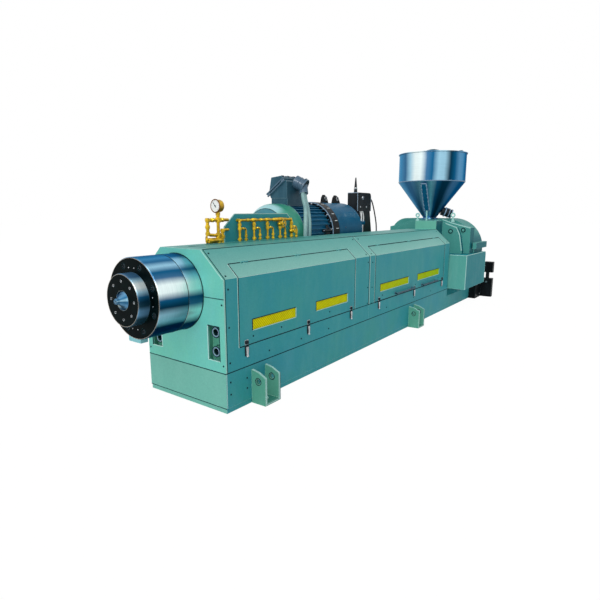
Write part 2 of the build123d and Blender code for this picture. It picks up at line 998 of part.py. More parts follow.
with BuildPart() as motor_body:
    motor_bar(body_start, ring_start, fin_root_radius)
    fin_tip = math.sqrt(motor_radius**2 - (fin_thickness / 2) ** 2)
    with Locations(Plane(origin=(front_x + body_start, motor_y, motor_z), z_dir=(1, 0, 0))):
        with PolarLocations(fin_tip, fin_count):
            Box(
                motor_radius - fin_root_radius + fin_thickness,
                fin_thickness,
                ring_start - body_start,
                align=(Align.MAX, Align.CENTER, Align.MIN),
            )
save(motor_body, "motor_body")

with BuildPart() as motor_ring:
    motor_bar(ring_start, ring_end, ring_radius)
    chamfer(motor_ring.faces().filter_by(Axis.X).edges(), head_edge)
save(motor_ring, "motor_ring")

with BuildPart() as motor_adaptor:
    motor_bar(ring_end, adaptor_end - adaptor_taper, adaptor_radius)
    motor_bar(adaptor_end - adaptor_taper, adaptor_end, adaptor_radius, adaptor_neck)
save(motor_adaptor, "motor_adaptor")

with BuildPart() as lifting_lugs:
    lug_foot = motor_z + adaptor_radius
    for shares in lug_shares:
        start, end = [between((ring_end, adaptor_end), share) for share in shares]
        lug_points = [
            (start, lug_foot - lug_thickness),
            (start + (end - start) / 6, lug_foot + lug_height * 2 / 3),
            (start + (end - start) / 3, lug_foot + lug_height),
            (start + (end - start) * 2 / 3, lug_foot + lug_height * 3 / 4),
            (end, lug_foot - lug_thickness),
        ]
        extrude(outline(upright(motor_y + lug_thickness / 2), lug_points), amount=lug_thickness)
    motor_bar(ring_end, adaptor_end, adaptor_radius, mode=Mode.SUBTRACT)
save(lifting_lugs, "lifting_lugs")

leg_pitch = (stand_end - stand_start - 2 * stand_leg_inset - stand_leg) / (stand_leg_count - 1)
with BuildPart() as motor_stand:
    block(
        (stand_start, stand_end),
        (stand_inner_y, stand_outer_y),
        (stand_top - stand_deck, stand_top),
    )
    for leg_y, leg_foot in ((stand_inner_leg_y, base_height), (stand_outer_leg_y, 0)):
        for number in range(stand_leg_count):
            leg_start = stand_start + stand_leg_inset + number * leg_pitch
            block(
                (leg_start, leg_start + stand_leg),
                (leg_y, leg_y + stand_leg),
                (leg_foot, stand_top - stand_deck),
            )
        block(
            (stand_start + stand_leg_inset, stand_end - stand_leg_inset),
            (leg_y, leg_y + stand_leg),
            (leg_foot, leg_foot + stand_rail_height),
        )
    for shares in foot_shares:
        block(
            [between((body_start, ring_start), share) for share in shares],
            (motor_y - foot_half_width, motor_y + foot_half_width),
            (stand_top, stand_top + foot_height),
        )
    motor_bar(dome_start, ring_end, motor_radius, mode=Mode.SUBTRACT)
save(motor_stand, "motor_stand")

# Terminal box on the motor, its lid, and the gland with two conduits
terminal_start = dome_start + terminal_offset
terminal_end = terminal_start + terminal_length
terminal_ledge = motor_z + terminal_ledge_rise
terminal_corner = (terminal_near_y, terminal_ledge)
terminal_size = (terminal_width, terminal_rise)
terminal_base_points = shares_at(terminal_corner, terminal_size, terminal_base_shares)
with BuildPart() as terminal_box:
    block(
        (terminal_start, terminal_end),
        (terminal_near_y, terminal_near_y + terminal_width),
        (motor_z + motor_radius / 2, terminal_ledge),
    )
    extrude(
        outline(cross(terminal_start - terminal_rim), terminal_base_points),
        amount=terminal_end - terminal_start + 2 * terminal_rim,
    )
    motor_bar(dome_start, ring_end, motor_radius, mode=Mode.SUBTRACT)
save(terminal_box, "terminal_box")

with BuildPart() as terminal_lid:
    extrude(
        outline(
            cross(terminal_start - terminal_rim),
            shares_at(terminal_corner, terminal_size, terminal_lid_shares),
        ),
        amount=terminal_end - terminal_start + 2 * terminal_rim,
    )
    extrude(
        outline(
            cross(terminal_start - 2 * terminal_rim),
            shares_at(terminal_corner, terminal_size, terminal_flange_shares),
        ),
        amount=terminal_end - terminal_start + 4 * terminal_rim,
    )
    extrude(
        outline(cross(terminal_start - overrun), terminal_base_points),
        amount=terminal_end - terminal_start + 2 * overrun,
        mode=Mode.SUBTRACT,
    )
save(terminal_lid, "terminal_lid")

gland_foot = (
    terminal_start + gland_offset,
    terminal_near_y + gland_sink,
    terminal_ledge + gland_rise,
)
gland_end = (
    gland_foot[0] + gland_drift,
    gland_foot[1] - gland_reach,
    gland_foot[2] - gland_drop,
)
gland_mouth = (
    gland_end[0] + mouth_drift,
    gland_end[1] - mouth_reach,
    gland_end[2] - mouth_drop,
)
gland_axis = Vector(*gland_end) - Vector(*gland_foot)
gland_rim_share = 1 - gland_rim_length / gland_axis.length
gland_rim_foot = tuple(foot + (end - foot) * gland_rim_share for foot, end in zip(gland_foot, gland_end))
with BuildPart() as cable_gland:
    rod(gland_foot, gland_end, gland_radius)
    rod(gland_rim_foot, gland_end, gland_rim_radius)
    rod(gland_rim_foot, gland_mouth, gland_mouth_radius)
    for shares in (terminal_base_shares, terminal_lid_shares, terminal_flange_shares):
        extrude(
            outline(cross(terminal_start - overrun), shares_at(terminal_corner, terminal_size, shares)),
            amount=terminal_end - terminal_start + 2 * overrun,
            mode=Mode.SUBTRACT,
        )
save(cable_gland, "cable_gland")


def cord_radii(points):
    """The largest arc that each corner's two runs allow."""
    radii = []
    for before, corner, after in zip(points, points[1:], points[2:]):
        run_in = Vector(*corner) - Vector(*before)
        run_out = Vector(*after) - Vector(*corner)
        turn = math.radians(run_in.get_angle(run_out))
        radii.append(corner_share * min(run_in.length, run_out.length) / math.tan(turn / 2))
    return radii


mouth_along = (Vector(*gland_mouth) - Vector(*gland_rim_foot)).normalized()
mouth_across = (Vector(1, 0, 0) - mouth_along * mouth_along.X).normalized()


def from_mouth(offset, rest):
    """A conduit's route: straight out of the gland's mouth, then through the other points."""
    start = Vector(*gland_mouth) + mouth_across * offset
    turn = start + mouth_along * conduit_first_run
    return [tuple(start), tuple(turn), *rest]


for name, route, radius in (
    ("power_conduit", from_mouth(conduit_offset, conduit_points), conduit_radius),
    ("signal_conduit", from_mouth(hose_offset, hose_points), hose_radius),
    ("switch_cable", cable_points, cable_radius),
):
    points = [(front_x + x, y, z) for x, y, z in route]
    radii = cord_radii(points)
    with BuildPart() as cord:
        with BuildLine() as path:
            FilletPolyline(*points, radius=radii)
        route_wire = path.wire()
        with BuildSketch(Plane(origin=points[0], z_dir=Vector(*points[1]) - Vector(*points[0]))):
            Circle(radius)
        sweep(path=route_wire)
    swept = math.pi * radius**2 * route_wire.length
    print(name, "radii", [round(value) for value in radii], "length", round(route_wire.length))
    print(name, "volume ratio", round(cord.part.volume / swept, 4))
    save(cord, name)

# Switch unit with its vent spindle, the column under it and the drive guard
switch_low = stand_top + column_height
switch_high = switch_low + switch_height
spindle_station = switch_start + spindle_offset
switch_points = [
    (switch_start, switch_low),
    (switch_start, switch_high),
    (switch_end, switch_high),
    (switch_end, switch_low),
]
with BuildPart() as switch_unit:
    extrude(outline(upright(switch_far_y), switch_points), amount=switch_far_y - switch_near_y)
    fillet(
        switch_unit.edges().filter_by(Axis.Y).group_by(Axis.Z)[-1].sort_by(Axis.X)[-1],
        switch_round,
    )
    rod(
        (spindle_station, spindle_y, switch_high),
        (spindle_station, spindle_y, switch_high + spindle_rise),
        spindle_foot_radius,
        spindle_tip_radius,
    )
save(switch_unit, "switch_unit")

column_points = [
    (column_start, stand_top),
    (column_start - column_lean, switch_low),
    (column_start - column_lean + column_top_width, switch_low),
    (column_end, (stand_top + switch_low) / 2),
    (column_end, stand_top),
]
with BuildPart() as switch_column:
    extrude(outline(upright(column_far_y), column_points), amount=column_far_y - column_near_y)
save(switch_column, "switch_column")

with BuildPart() as drive_guard:
    block((adaptor_end, flange_start), (guard_near_y, guard_far_y), (guard_low, guard_high))
    block(
        (column_start - overrun, column_end + overrun),
        (column_near_y - overrun, column_far_y + overrun),
        (stand_top - overrun, guard_high + overrun),
        mode=Mode.SUBTRACT,
    )
save(drive_guard, "drive_guard")

# Feed block, flange plates and gearbox
gearbox_top = waist_height + gearbox_rise
with BuildPart() as feed_block:
    block((housing_length, feed_start), (-feed_near_y, feed_far_y), (base_height, housing_height))
    block((feed_start, flange_start), (-feed_near_y, feed_far_y), (base_height, gearbox_top - feed_drop))
save(feed_block, "feed_block")


def mirrored(points):
    """An outline across the machine from its near half, the same on both sides of the screw axis."""
    near = [(-reach, height) for reach, height in points]
    far = [(2 * axis_y + reach, height) for reach, height in reversed(points)]
    return near + far


def lower_points():
    """The part of a casting between the base and its wider upper part."""
    return [
        (axis_y - lower_half_width, base_height),
        (axis_y - lower_half_width, waist_height),
        (axis_y + lower_half_width, waist_height),
        (axis_y + lower_half_width, base_height),
    ]


with BuildPart() as feed_housing:
    extrude(outline(cross(flange_start), lower_points()), amount=shoulder_end - flange_start)
    for start, end, size, shares, boss_share in (
        (flange_start, flange_end, (flange_half_width, flange_rise), flange_shares, flange_boss_share),
        (
            flange_end,
            shoulder_end,
            (shoulder_half_width, shoulder_rise),
            shoulder_shares,
            shoulder_boss_share,
        ),
    ):
        points = shares_at((0, waist_height), size, shares)
        extrude(outline(cross(start), mirrored(points)), amount=end - start)
        boss_y = -boss_share[0] * size[0]
        boss_z = waist_height + boss_share[1] * size[1]
        rod((start - boss_length, boss_y, boss_z), (start, boss_y, boss_z), boss_radius)
save(feed_housing, "feed_housing")

with BuildPart() as gearbox_case:
    block(
        (shoulder_end, gearbox_end),
        (-gearbox_near_y, gearbox_far_y),
        (waist_height, gearbox_top),
    )
    top_edges = gearbox_case.edges().filter_by(Axis.X).group_by(Axis.Z)[-1].sort_by(Axis.Y)
    fillet(top_edges[0], gearbox_near_round)
    top_edges = gearbox_case.edges().filter_by(Axis.X).group_by(Axis.Z)[-1].sort_by(Axis.Y)
    fillet(top_edges[-1], gearbox_far_round)
    extrude(outline(cross(shoulder_end), lower_points()), amount=gearbox_end - shoulder_end)
    block((duct_start, duct_end), (-duct_outer_y, -gearbox_near_y), (duct_low, duct_high))
    block((shoulder_end, gearbox_end), (-gearbox_near_y, overrun - gearbox_near_y), (duct_low, duct_high))
save(gearbox_case, "gearbox_case")

with BuildPart() as side_box:
    block(
        (side_box_start, side_box_end),
        (-side_box_outer_y, -side_box_inner_y),
        (base_height, side_box_top),
    )
    top_rear_edge = side_box.edges().filter_by(Axis.Y).group_by(Axis.Z)[-1].sort_by(Axis.X)[-1]
    chamfer(top_rear_edge, side_box_edge)
save(side_box, "side_box")

# Hopper on its foot: cone, cylinder and lid
hopper_foot_low = waist_height + shoulder_rise
hopper_cone_low = hopper_foot_low + hopper_foot_height
hopper_cone_high = hopper_cone_low + hopper_cone_height
hopper_top = hopper_cone_high + hopper_cylinder_height


def hopper_ring(low, high, radius, top_radius=None, mode=Mode.ADD):
    """A round section of the hopper between two heights."""
    rod(
        (hopper_station, axis_y, low),
        (hopper_station, axis_y, high),
        radius,
        top_radius,
        mode,
    )


with BuildPart() as hopper_cone:
    hopper_ring(hopper_foot_low, hopper_cone_low, hopper_foot_radius)
    hopper_ring(hopper_cone_low, hopper_cone_high, hopper_throat_radius + hopper_sheet, hopper_radius)
    hopper_ring(
        hopper_cone_low,
        hopper_cone_high,
        hopper_throat_radius,
        hopper_radius - hopper_sheet,
        mode=Mode.SUBTRACT,
    )
    hopper_ring(hopper_foot_low, hopper_cone_low, hopper_throat_radius, mode=Mode.SUBTRACT)
save(hopper_cone, "hopper_cone")

# Sight strip down the cone's near side, and the feeder drive at its foot
cone_run = hopper_radius - hopper_throat_radius - hopper_sheet


def cone_point(share, turn):
    """A point on the cone's outer face by its height share and its turn about the axis."""
    reach = hopper_throat_radius + hopper_sheet + share * cone_run
    turned = math.radians(turn)
    return (
        hopper_station + reach * math.cos(turned),
        axis_y + reach * math.sin(turned),
        hopper_cone_low + share * hopper_cone_height,
    )


strip_foot = Vector(*cone_point(strip_low_share, strip_turn))
strip_head = Vector(*cone_point(strip_high_share, strip_turn))
strip_along = strip_head - strip_foot
strip_side = Vector(-math.sin(math.radians(strip_turn)), math.cos(math.radians(strip_turn)), 0)
shift = Vector(front_x, 0, 0)
with BuildPart() as sight_strip:
    with Locations(Plane(origin=strip_foot + shift, x_dir=strip_side, z_dir=strip_along)):
        Box(
            strip_width,
            2 * strip_depth,
            strip_along.length,
            align=(Align.CENTER, Align.CENTER, Align.MIN),
        )
    hopper_ring(
        hopper_cone_low,
        hopper_cone_high,
        hopper_throat_radius + hopper_sheet,
        hopper_radius,
        mode=Mode.SUBTRACT,
    )
save(sight_strip, "sight_strip")

feeder_foot = cone_point(feeder_share, feeder_turn)
feeder_reach = feeder_length * math.cos(math.radians(feeder_tilt))
feeder_end = (
    feeder_foot[0] + feeder_reach * math.cos(math.radians(feeder_turn)),
    feeder_foot[1] + feeder_reach * math.sin(math.radians(feeder_turn)),
    feeder_foot[2] - feeder_length * math.sin(math.radians(feeder_tilt)),
)
with BuildPart() as feeder_drive:
    rod(feeder_foot, feeder_end, feeder_radius)
    hopper_ring(
        hopper_cone_low,
        hopper_cone_high,
        hopper_throat_radius + hopper_sheet,
        hopper_radius,
        mode=Mode.SUBTRACT,
    )
save(feeder_drive, "feeder_drive")

with BuildPart() as hopper_cylinder:
    hopper_ring(hopper_cone_high, hopper_top, hopper_radius)
    hopper_ring(hopper_cone_high, hopper_top, hopper_radius - hopper_sheet, mode=Mode.SUBTRACT)
save(hopper_cylinder, "hopper_cylinder")

with BuildPart() as hopper_lid:
    hopper_ring(hopper_top, hopper_top + hopper_rim, hopper_radius + hopper_rim)
    hopper_ring(
        hopper_top + hopper_rim,
        hopper_top + hopper_rim + lid_rise,
        hopper_radius,
        lid_knob_radius,
    )
    knob_foot = hopper_top + hopper_rim + lid_rise
    hopper_ring(knob_foot, knob_foot + lid_knob_height, lid_knob_radius)
save(hopper_lid, "hopper_lid")

# Oil pump, its sump and the filler cap on a neck
neck_y = -(sump_near_y + pump_near_y) / 2
neck_station = (pump_end + sump_end) / 2
with BuildPart() as oil_pump:
    block((base_length, pump_end), (-pump_near_y, -pump_far_y), (0, pump_height))
    block((pump_end, sump_end), (-sump_near_y, -pump_far_y), (0, sump_height))
    rod((neck_station, neck_y, sump_height), (neck_station, neck_y, cap_low), neck_radius)
    block((pump_end, sump_end), (-sump_near_y, -sump_near_y + cap_length), (cap_low, cap_high))
save(oil_pump, "oil_pump")
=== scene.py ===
import math

import bmesh
import bpy
from mathutils import Matrix, Vector


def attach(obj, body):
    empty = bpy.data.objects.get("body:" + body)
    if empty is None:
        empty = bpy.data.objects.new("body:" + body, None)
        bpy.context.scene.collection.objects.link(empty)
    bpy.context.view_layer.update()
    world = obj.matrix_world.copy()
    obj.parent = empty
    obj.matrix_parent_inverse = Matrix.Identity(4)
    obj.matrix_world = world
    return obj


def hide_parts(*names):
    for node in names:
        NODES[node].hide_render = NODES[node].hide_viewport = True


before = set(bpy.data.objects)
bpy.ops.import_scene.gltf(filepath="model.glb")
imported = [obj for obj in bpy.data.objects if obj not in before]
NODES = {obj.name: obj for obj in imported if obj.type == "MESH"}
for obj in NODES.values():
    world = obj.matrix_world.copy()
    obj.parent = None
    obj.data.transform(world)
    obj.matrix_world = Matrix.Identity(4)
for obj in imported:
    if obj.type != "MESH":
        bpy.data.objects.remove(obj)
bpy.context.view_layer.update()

# Points are (station, y, z) in metres, with stations measured behind the housing's front face
FRONT_X = -3.34
SIDE_Y = -0.515
BASE_TOP = 0.355
SHOULDER_Z = 1.15
ROOF_Z = 1.38
ROOF_HALF = 0.265
SLOPE = (ROOF_Z - SHOULDER_Z) / (-SIDE_Y - ROOF_HALF)
FRONT_SEAM_Z = 0.988
MID_SEAM = 2.49
HOUSING_END = 5.4
AXIS_Y = 0.057
AXIS_Z = 1.0
COVERS = {"front": (0.175, 2.125), "rear": (2.645, 5.145)}
COVER_LOW = 0.55
COVER_TOP_Y = -0.401
WINDOWS = {"front": ((0.337, 0.974), (1.322, 1.967)), "rear": ((2.79, 3.697), (4.022, 4.938))}
WINDOW_LOW = 0.665
WINDOW_HIGH = 0.765
LATCHES = {"front": (0.255, 1.181, 2.045), "rear": (2.76, 3.91, 5.076)}
HOOK_TOP = 0.596
HOOK_CURL = ((0.004, 0.008), (0.013, 0.010), (0.014, 0.030), (0.006, 0.034))
LEVER_LOW = 0.440
LEVER_HIGH = 0.541
LATCH_HALF = 0.023
LATCH_PLATE = 0.004
GRIPS = ((3.215, 3.852), (4.157, 4.793))
GRIP_Z = 0.582
GRIP_REACH = 0.042
PORT_Y = 0.381
PORT_HEIGHTS = (0.522, 0.691)
PORT_SPAN_Y = (0.31, 0.452)
PORT_SPAN_Z = (0.45, 0.75)
CLEVIS_STARTS = (0.312, 3.75)
CLEVIS_WIDTH = 0.209
CLEVIS_PLATE = 0.025
CLEVIS_REACH = 0.675
CLEVIS_CORNER = 0.256
CLEVIS_CROWN_Y = 0.595
CLEVIS_TOP = 0.296
CLEVIS_BACK = 0.311
CLEVIS_EYE = (0.594, 0.212)
HEAD_FACE = -0.44
HEAD_JOINT = -0.155
HEAD_RADIUS = 0.336
HEAD_BOLT_CIRCLE = 0.278
ADAPTER_FACE = -0.54
ADAPTER_RADIUS = 0.215
ADAPTER_BOLT_CIRCLE = 0.155
PIPE_Y = 0.218
PIPE_RADIUS = 0.017
HEADER_Z = 1.598
HEADER_LEGS = (0.972, 1.196, 1.42, 1.644, 1.862)
BRANCH_REACH = 0.096
BRANCH_Z = 1.512
GAUGE_STATION = 0.668
GAUGE_Z = 1.742
GAUGE_RADIUS = 0.068
GAUGE_DEPTH = 0.076
GAUGE_HEADER_Z = 1.606
MANIFOLD_START = 0.785
MANIFOLD_Y = 0.253
MOTOR_Y = 0.74
MOTOR_Z = 1.397
DOME_DISC = 0.327
DOME_DISC_STATION = 1.9953
RING_START = 2.959
RING_END = 3.131
RING_RADIUS = 0.426
SWITCH_NEAR_Y = 0.6
HOPPER_X = 5.88
HOPPER_RADIUS = 0.588
CONE_LOW = 1.572
CONE_HIGH = 2.205
CONE_FOOT_RADIUS = 0.113
HOPPER_TOP = 2.69

# Camera
camera_data = bpy.data.cameras.new("camera")
camera_data.sensor_width = 36.0
camera_data.lens = 27.738
camera = bpy.data.objects.new("camera", camera_data)
camera.location = (-5.92431, -3.18418, 1.69130)
camera.rotation_euler = (math.radians(79.130), 0.0, math.radians(-53.622))
bpy.context.scene.collection.objects.link(camera)
bpy.context.scene.camera = camera

# Cords: the same routes as in the part's source, in the frame
CORDS = {
    "power_conduit": (
        [
            (-0.8953, 0.4747, 1.9224), (-0.9146, 0.4526, 1.8534), (-0.950, 0.385, 1.745),
            (-1.026, 0.332, 1.580), (-1.065, 0.308, 1.405), (-1.065, 0.308, 1.250),
        ],
        0.058, 0.730, "stiff",
    ),
    "signal_conduit": (
        [
            (-0.8460, 0.4707, 1.9099), (-0.8654, 0.4485, 1.8409), (-0.888, 0.395, 1.745),
            (-0.932, 0.332, 1.580), (-0.972, 0.306, 1.400), (-0.972, 0.306, 1.250),
        ],
        0.040, 0.704, "stiff",
    ),
    "switch_cable": (
        [
            (1.240, 0.655, 1.912), (1.296, 0.655, 1.912), (1.372, 0.652, 1.868), (1.436, 0.648, 1.750),
            (1.496, 0.644, 1.600), (1.548, 0.640, 1.440), (1.548, 0.640, 1.290),
        ],
        0.022, 0.754, "medium",
    ),
}


def cord_piece(name, points, diameter, length, stiffness):
    """A smooth cord through the route's control points."""
    curve = bpy.data.curves.new(name + "_line", "CURVE")
    curve.dimensions = "3D"
    spline = curve.splines.new("NURBS")
    spline.points.add(len(points) - 1)
    for point, place in zip(spline.points, points):
        point.co = (*place, 1.0)
    spline.order_u = 3
    spline.use_endpoint_u = True
    spline.resolution_u = 24
    curve.bevel_depth = diameter / 2
    curve.bevel_resolution = 6
    curve.use_fill_caps = True
    piece = bpy.data.objects.new(name + "_cord", curve)
    bpy.context.scene.collection.objects.link(piece)
    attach(piece, "machine")
    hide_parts(name)
    return piece


cords = {name: cord_piece(name, *facts) for name, facts in CORDS.items()}


# Node helpers for the materials
def colour4(value):
    """A colour with its alpha, and any other value as it is."""
    return (*value, 1.0) if isinstance(value, tuple) and len(value) == 3 else value


def srgb(red, green, blue):
    """A colour given by its 0 to 255 values, as the linear one that shaders take."""
    return tuple(
        c / 12.92 if c <= 0.04045 else ((c + 0.055) / 1.055) ** 2.4
        for c in (v / 255 for v in (red, green, blue))
    )


class Tree:
    """A node tree whose nodes are added by short calls."""

    def __init__(self, tree):
        self.nodes = tree.nodes
        self.links = tree.links

    def add(self, kind, inputs=None, **settings):
        node = self.nodes.new(kind)
        for key, value in settings.items():
            setattr(node, key, value)
        for key, value in (inputs or {}).items():
            self.feed(node.inputs[key], value)
        return node

    def feed(self, socket, value):
        if isinstance(value, bpy.types.NodeSocket):
            self.links.new(value, socket)
        else:
            socket.default_value = value

    def math(self, operation, first, second=0.0, third=0.0):
        inputs = {0: first, 1: second, 2: third}
        return self.add("ShaderNodeMath", inputs, operation=operation).outputs[0]

    def times(self, first, second, plus=0.0):
        return self.math("MULTIPLY_ADD", first, second, plus)

    def spread(self, value, low, high, to_low=0.0, to_high=1.0, smooth=False):
        inputs = {"Value": value, "From Min": low, "From Max": high, "To Min": to_low, "To Max": to_high}
        kind = "SMOOTHSTEP" if smooth else "LINEAR"
        return self.add("ShaderNodeMapRange", inputs, interpolation_type=kind).outputs["Result"]


class Shader(Tree):
    """A material built on the Principled surface."""

    SOCKETS = {"colour": "Base Color", "specular": "Specular IOR Level"}

    def __init__(self, name):
        self.material = bpy.data.materials.new(name)
        self.material.use_nodes = True
        super().__init__(self.material.node_tree)
        self.surface = self.nodes["Principled BSDF"]

    def set(self, **values):
        for key, value in values.items():
            self.feed(self.surface.inputs[self.SOCKETS.get(key, key.title())], colour4(value))
        return self.material

    def vector_math(self, operation, first, second, output="Vector"):
        node = self.add("ShaderNodeVectorMath", {0: first, 1: second}, operation=operation)
        return node.outputs[output]

    def along(self, first, second):
        return self.vector_math("DOT_PRODUCT", first, second, "Value")

    def place(self, kind="Object"):
        return self.add("ShaderNodeTexCoord").outputs[kind]

    def split(self, vector):
        return self.add("ShaderNodeSeparateXYZ", {0: vector}).outputs

    def noise(self, scale, detail=3.0, roughness=0.5, stretch=None):
        vector = self.place()
        if stretch:
            vector = self.vector_math("MULTIPLY", vector, stretch)
        inputs = {"Vector": vector, "Scale": scale, "Detail": detail, "Roughness": roughness}
        return self.add("ShaderNodeTexNoise", inputs).outputs["Fac"]

    def ramp(self, factor, stops):
        node = self.add("ShaderNodeValToRGB", {"Fac": factor})
        elements = node.color_ramp.elements
        while len(elements) < len(stops):
            elements.new(0.5)
        for element, (position, value) in zip(elements, stops):
            element.position = position
            element.color = colour4(value)
        return node.outputs["Color"]

    def mix(self, factor, first, second):
        node = self.add("ShaderNodeMix", data_type="RGBA")
        self.feed(node.inputs["Factor"], factor)
        self.feed(node.inputs["A"], colour4(first))
        self.feed(node.inputs["B"], colour4(second))
        return node.outputs["Result"]

    def bump(self, height, strength, distance):
        inputs = {"Height": height, "Strength": strength, "Distance": distance}
        return self.add("ShaderNodeBump", inputs).outputs["Normal"]

    def edges(self, radius, share):
        """The share along the piece's sharp edges, and 0 on its flat faces."""
        soft = self.add("ShaderNodeBevel", {"Radius": radius}, samples=8).outputs["Normal"]
        plain = self.add("ShaderNodeNewGeometry").outputs["Normal"]
        bend = self.math("SUBTRACT", 1.0, self.along(soft, plain))
        return self.times(self.spread(bend, 0.03, 0.16, smooth=True), share)


# Paint
# Painted light and shade for faces towards the front, up the shoulder's slope and on the roof; the slope is
# paler towards its foot
SHOULDER_TEAL = (104, 180, 174)
SHOULDER_PALE = (142, 204, 194)
FACINGS = {"front": ("X", -0.5, -0.8), "slope": ("Z", 0.35, 0.6), "roof": ("Z", 0.9, 0.98)}


def painted(name, main, second, edge, roughness=0.42, highlight_radius=0.006, gleam=0.3, sides=None):
    """Paint with cloudy colour, a fine grain, faint dust, and pale painted highlights along the edges.

    The sides give painted light and shade: other colours for the faces towards the front, the shoulder and
    the roof.
    """
    shader = Shader(name)
    # The edge colour serves both the faint dust and the painted highlights along the edges
    main, second, edge = srgb(*main), srgb(*second), srgb(*edge)
    clouds = shader.noise(1.7, 4.0, 0.6)
    fine = shader.noise(38.0, 3.0, 0.6)
    streaks = shader.noise(9.0, 4.0, 0.6, stretch=(1.0, 1.0, 0.3))
    share = shader.times(fine, 0.3, shader.times(clouds, 0.9))
    colour = shader.mix(shader.spread(share, 0.42, 0.78), main, second)
    # Painted light and shade: faces towards the front, the shoulder and the roof take the side colours
    if sides:
        facing = shader.split(shader.place("Normal"))
        height = shader.split(shader.place())["Z"]
        for side, value in sides.items():
            axis, low, high = FACINGS[side]
            tint = srgb(*value)
            if value == SHOULDER_TEAL:
                rise = shader.spread(height, SHOULDER_Z, ROOF_Z - 0.03)
                tint = shader.mix(rise, srgb(*SHOULDER_PALE), tint)
            colour = shader.mix(shader.spread(facing[axis], low, high), colour, tint)
    colour = shader.mix(shader.times(shader.spread(streaks, 0.45, 0.75), 0.06), colour, edge)
    grain = shader.spread(shader.noise(75.0, 2.0, 0.7), 0.3, 0.7, 0.0, 0.16)
    colour = shader.mix(grain, colour, tuple(c * 0.45 for c in main))
    # Painted highlights along the sharp edges, in the edge colour
    colour = shader.mix(shader.edges(highlight_radius, 0.6), colour, edge)
    gloss = shader.times(clouds, 0.16, roughness - 0.08)
    peel = shader.bump(shader.noise(420.0, 2.0), 0.12, 0.002)
    return shader.set(colour=colour, roughness=gloss, normal=peel, specular=gleam)


def dome_paint(name):
    """Green paint on the fan cover, greyer on its flat face, with a painted highlight as a pale crescent
    along the bend above, and painted highlights on its edges.
    """
    shader = Shader(name)
    place = shader.split(shader.place())
    aside = shader.math("SUBTRACT", place["Y"], MOTOR_Y)
    above = shader.math("SUBTRACT", place["Z"], MOTOR_Z)
    reach = shader.math("SQRT", shader.times(aside, aside, shader.times(above, above)))
    clouds = shader.noise(6.0, 4.0, 0.6)
    reach = shader.math("ADD", reach, shader.times(clouds, 0.012, -0.006))
    cloudy = shader.spread(clouds, 0.35, 0.7)
    face = shader.mix(cloudy, srgb(70, 134, 146), srgb(58, 118, 132))
    green = shader.mix(cloudy, srgb(74, 168, 138), srgb(38, 142, 122))
    # Painted highlight: a pale crescent along the bend, on its lit upper side
    bend = shader.spread(reach, DOME_DISC - 0.008, DOME_DISC + 0.008, smooth=True)
    near = shader.spread(place["X"], FRONT_X + 2.13, FRONT_X + 2.03, smooth=True)
    lit = shader.spread(aside, -0.30, -0.14, smooth=True)
    crescent = shader.times(shader.times(shader.times(bend, near), lit), 0.8)
    colour = shader.mix(crescent, shader.mix(bend, face, green), srgb(172, 216, 226))
    # Painted highlights along the edges
    colour = shader.mix(shader.edges(0.006, 0.5), colour, srgb(190, 226, 214))
    gloss = shader.spread(clouds, 0.3, 0.7, 0.26, 0.38)
    grain = shader.bump(shader.noise(420.0, 2.0), 0.12, 0.002)
    return shader.set(colour=colour, roughness=gloss, specular=0.25, normal=grain)


def grille_paint(name):
    """Yellow sheet with fine slanted slots, greener towards the gearbox."""
    slot_pitch = 0.026
    shader = Shader(name)
    place = shader.split(shader.place())
    slant = shader.math("ADD", place["X"], shader.times(place["Z"], 0.9))
    wave = shader.math("SINE", shader.times(slant, 2 * math.pi / slot_pitch))
    slot = shader.spread(wave, 0.3, 0.75, smooth=True)
    yellow = shader.mix(shader.spread(place["X"], -3.2, 1.6), srgb(244, 228, 2), srgb(176, 222, 16))
    tinted = shader.mix(shader.spread(shader.noise(12.0, 3.0), 0.4, 0.7, 0.0, 0.6), yellow, srgb(204, 200, 2))
    colour = shader.mix(shader.times(slot, 0.5), tinted, srgb(112, 124, 2))
    height = shader.math("SUBTRACT", 1.0, slot)
    return shader.set(colour=colour, roughness=0.6, specular=0.05, normal=shader.bump(height, 0.5, 0.003))


# Side colours below are painted light and shade on faces towards the front, the shoulder slope and the roof
TEAL = painted(
    "paint_teal", (62, 162, 166), (54, 156, 170), (168, 220, 212), gleam=0.1,
    sides={"front": (92, 176, 166), "slope": SHOULDER_TEAL, "roof": (72, 156, 150)},
)
COVER = painted(
    "paint_cover", (64, 162, 164), (56, 156, 170), (168, 220, 212), gleam=0.1, sides={"slope": SHOULDER_TEAL}
)
# Painted light: the housing's teal made paler for the front panels, which face the light
FRONT = painted("paint_front", (108, 197, 174), (104, 192, 184), (190, 234, 224), gleam=0.15)
JUNCTION = painted("paint_junction", (134, 198, 204), (118, 186, 196), (214, 238, 238), gleam=0.15)
PORT = painted("paint_port", (92, 168, 140), (80, 156, 136), (180, 224, 206), gleam=0.1)
BASE = painted(
    "paint_base", (58, 160, 158), (56, 156, 172), (180, 226, 216), gleam=0.15,
    sides={"front": (112, 180, 166)},
)
BOX = painted(
    "paint_box", (36, 142, 148), (34, 138, 150), (200, 234, 226), gleam=0.06, sides={"front": (90, 164, 154)}
)
CASTING = painted(
    "paint_casting", (26, 116, 124), (22, 108, 118), (160, 214, 208), 0.48, gleam=0.06,
    sides={"front": (74, 150, 142), "slope": (82, 158, 152)},
)
GREEN = painted(
    "paint_green", (64, 140, 120), (58, 132, 120), (180, 224, 206), highlight_radius=0.008, gleam=0.15,
    sides={"front": (84, 154, 134)},
)
FEED = painted(
    "paint_feed", (30, 108, 116), (26, 100, 112), (170, 220, 212), gleam=0.08,
    sides={"front": (110, 186, 166), "roof": (120, 190, 190)},
)
DOME = dome_paint("paint_dome")
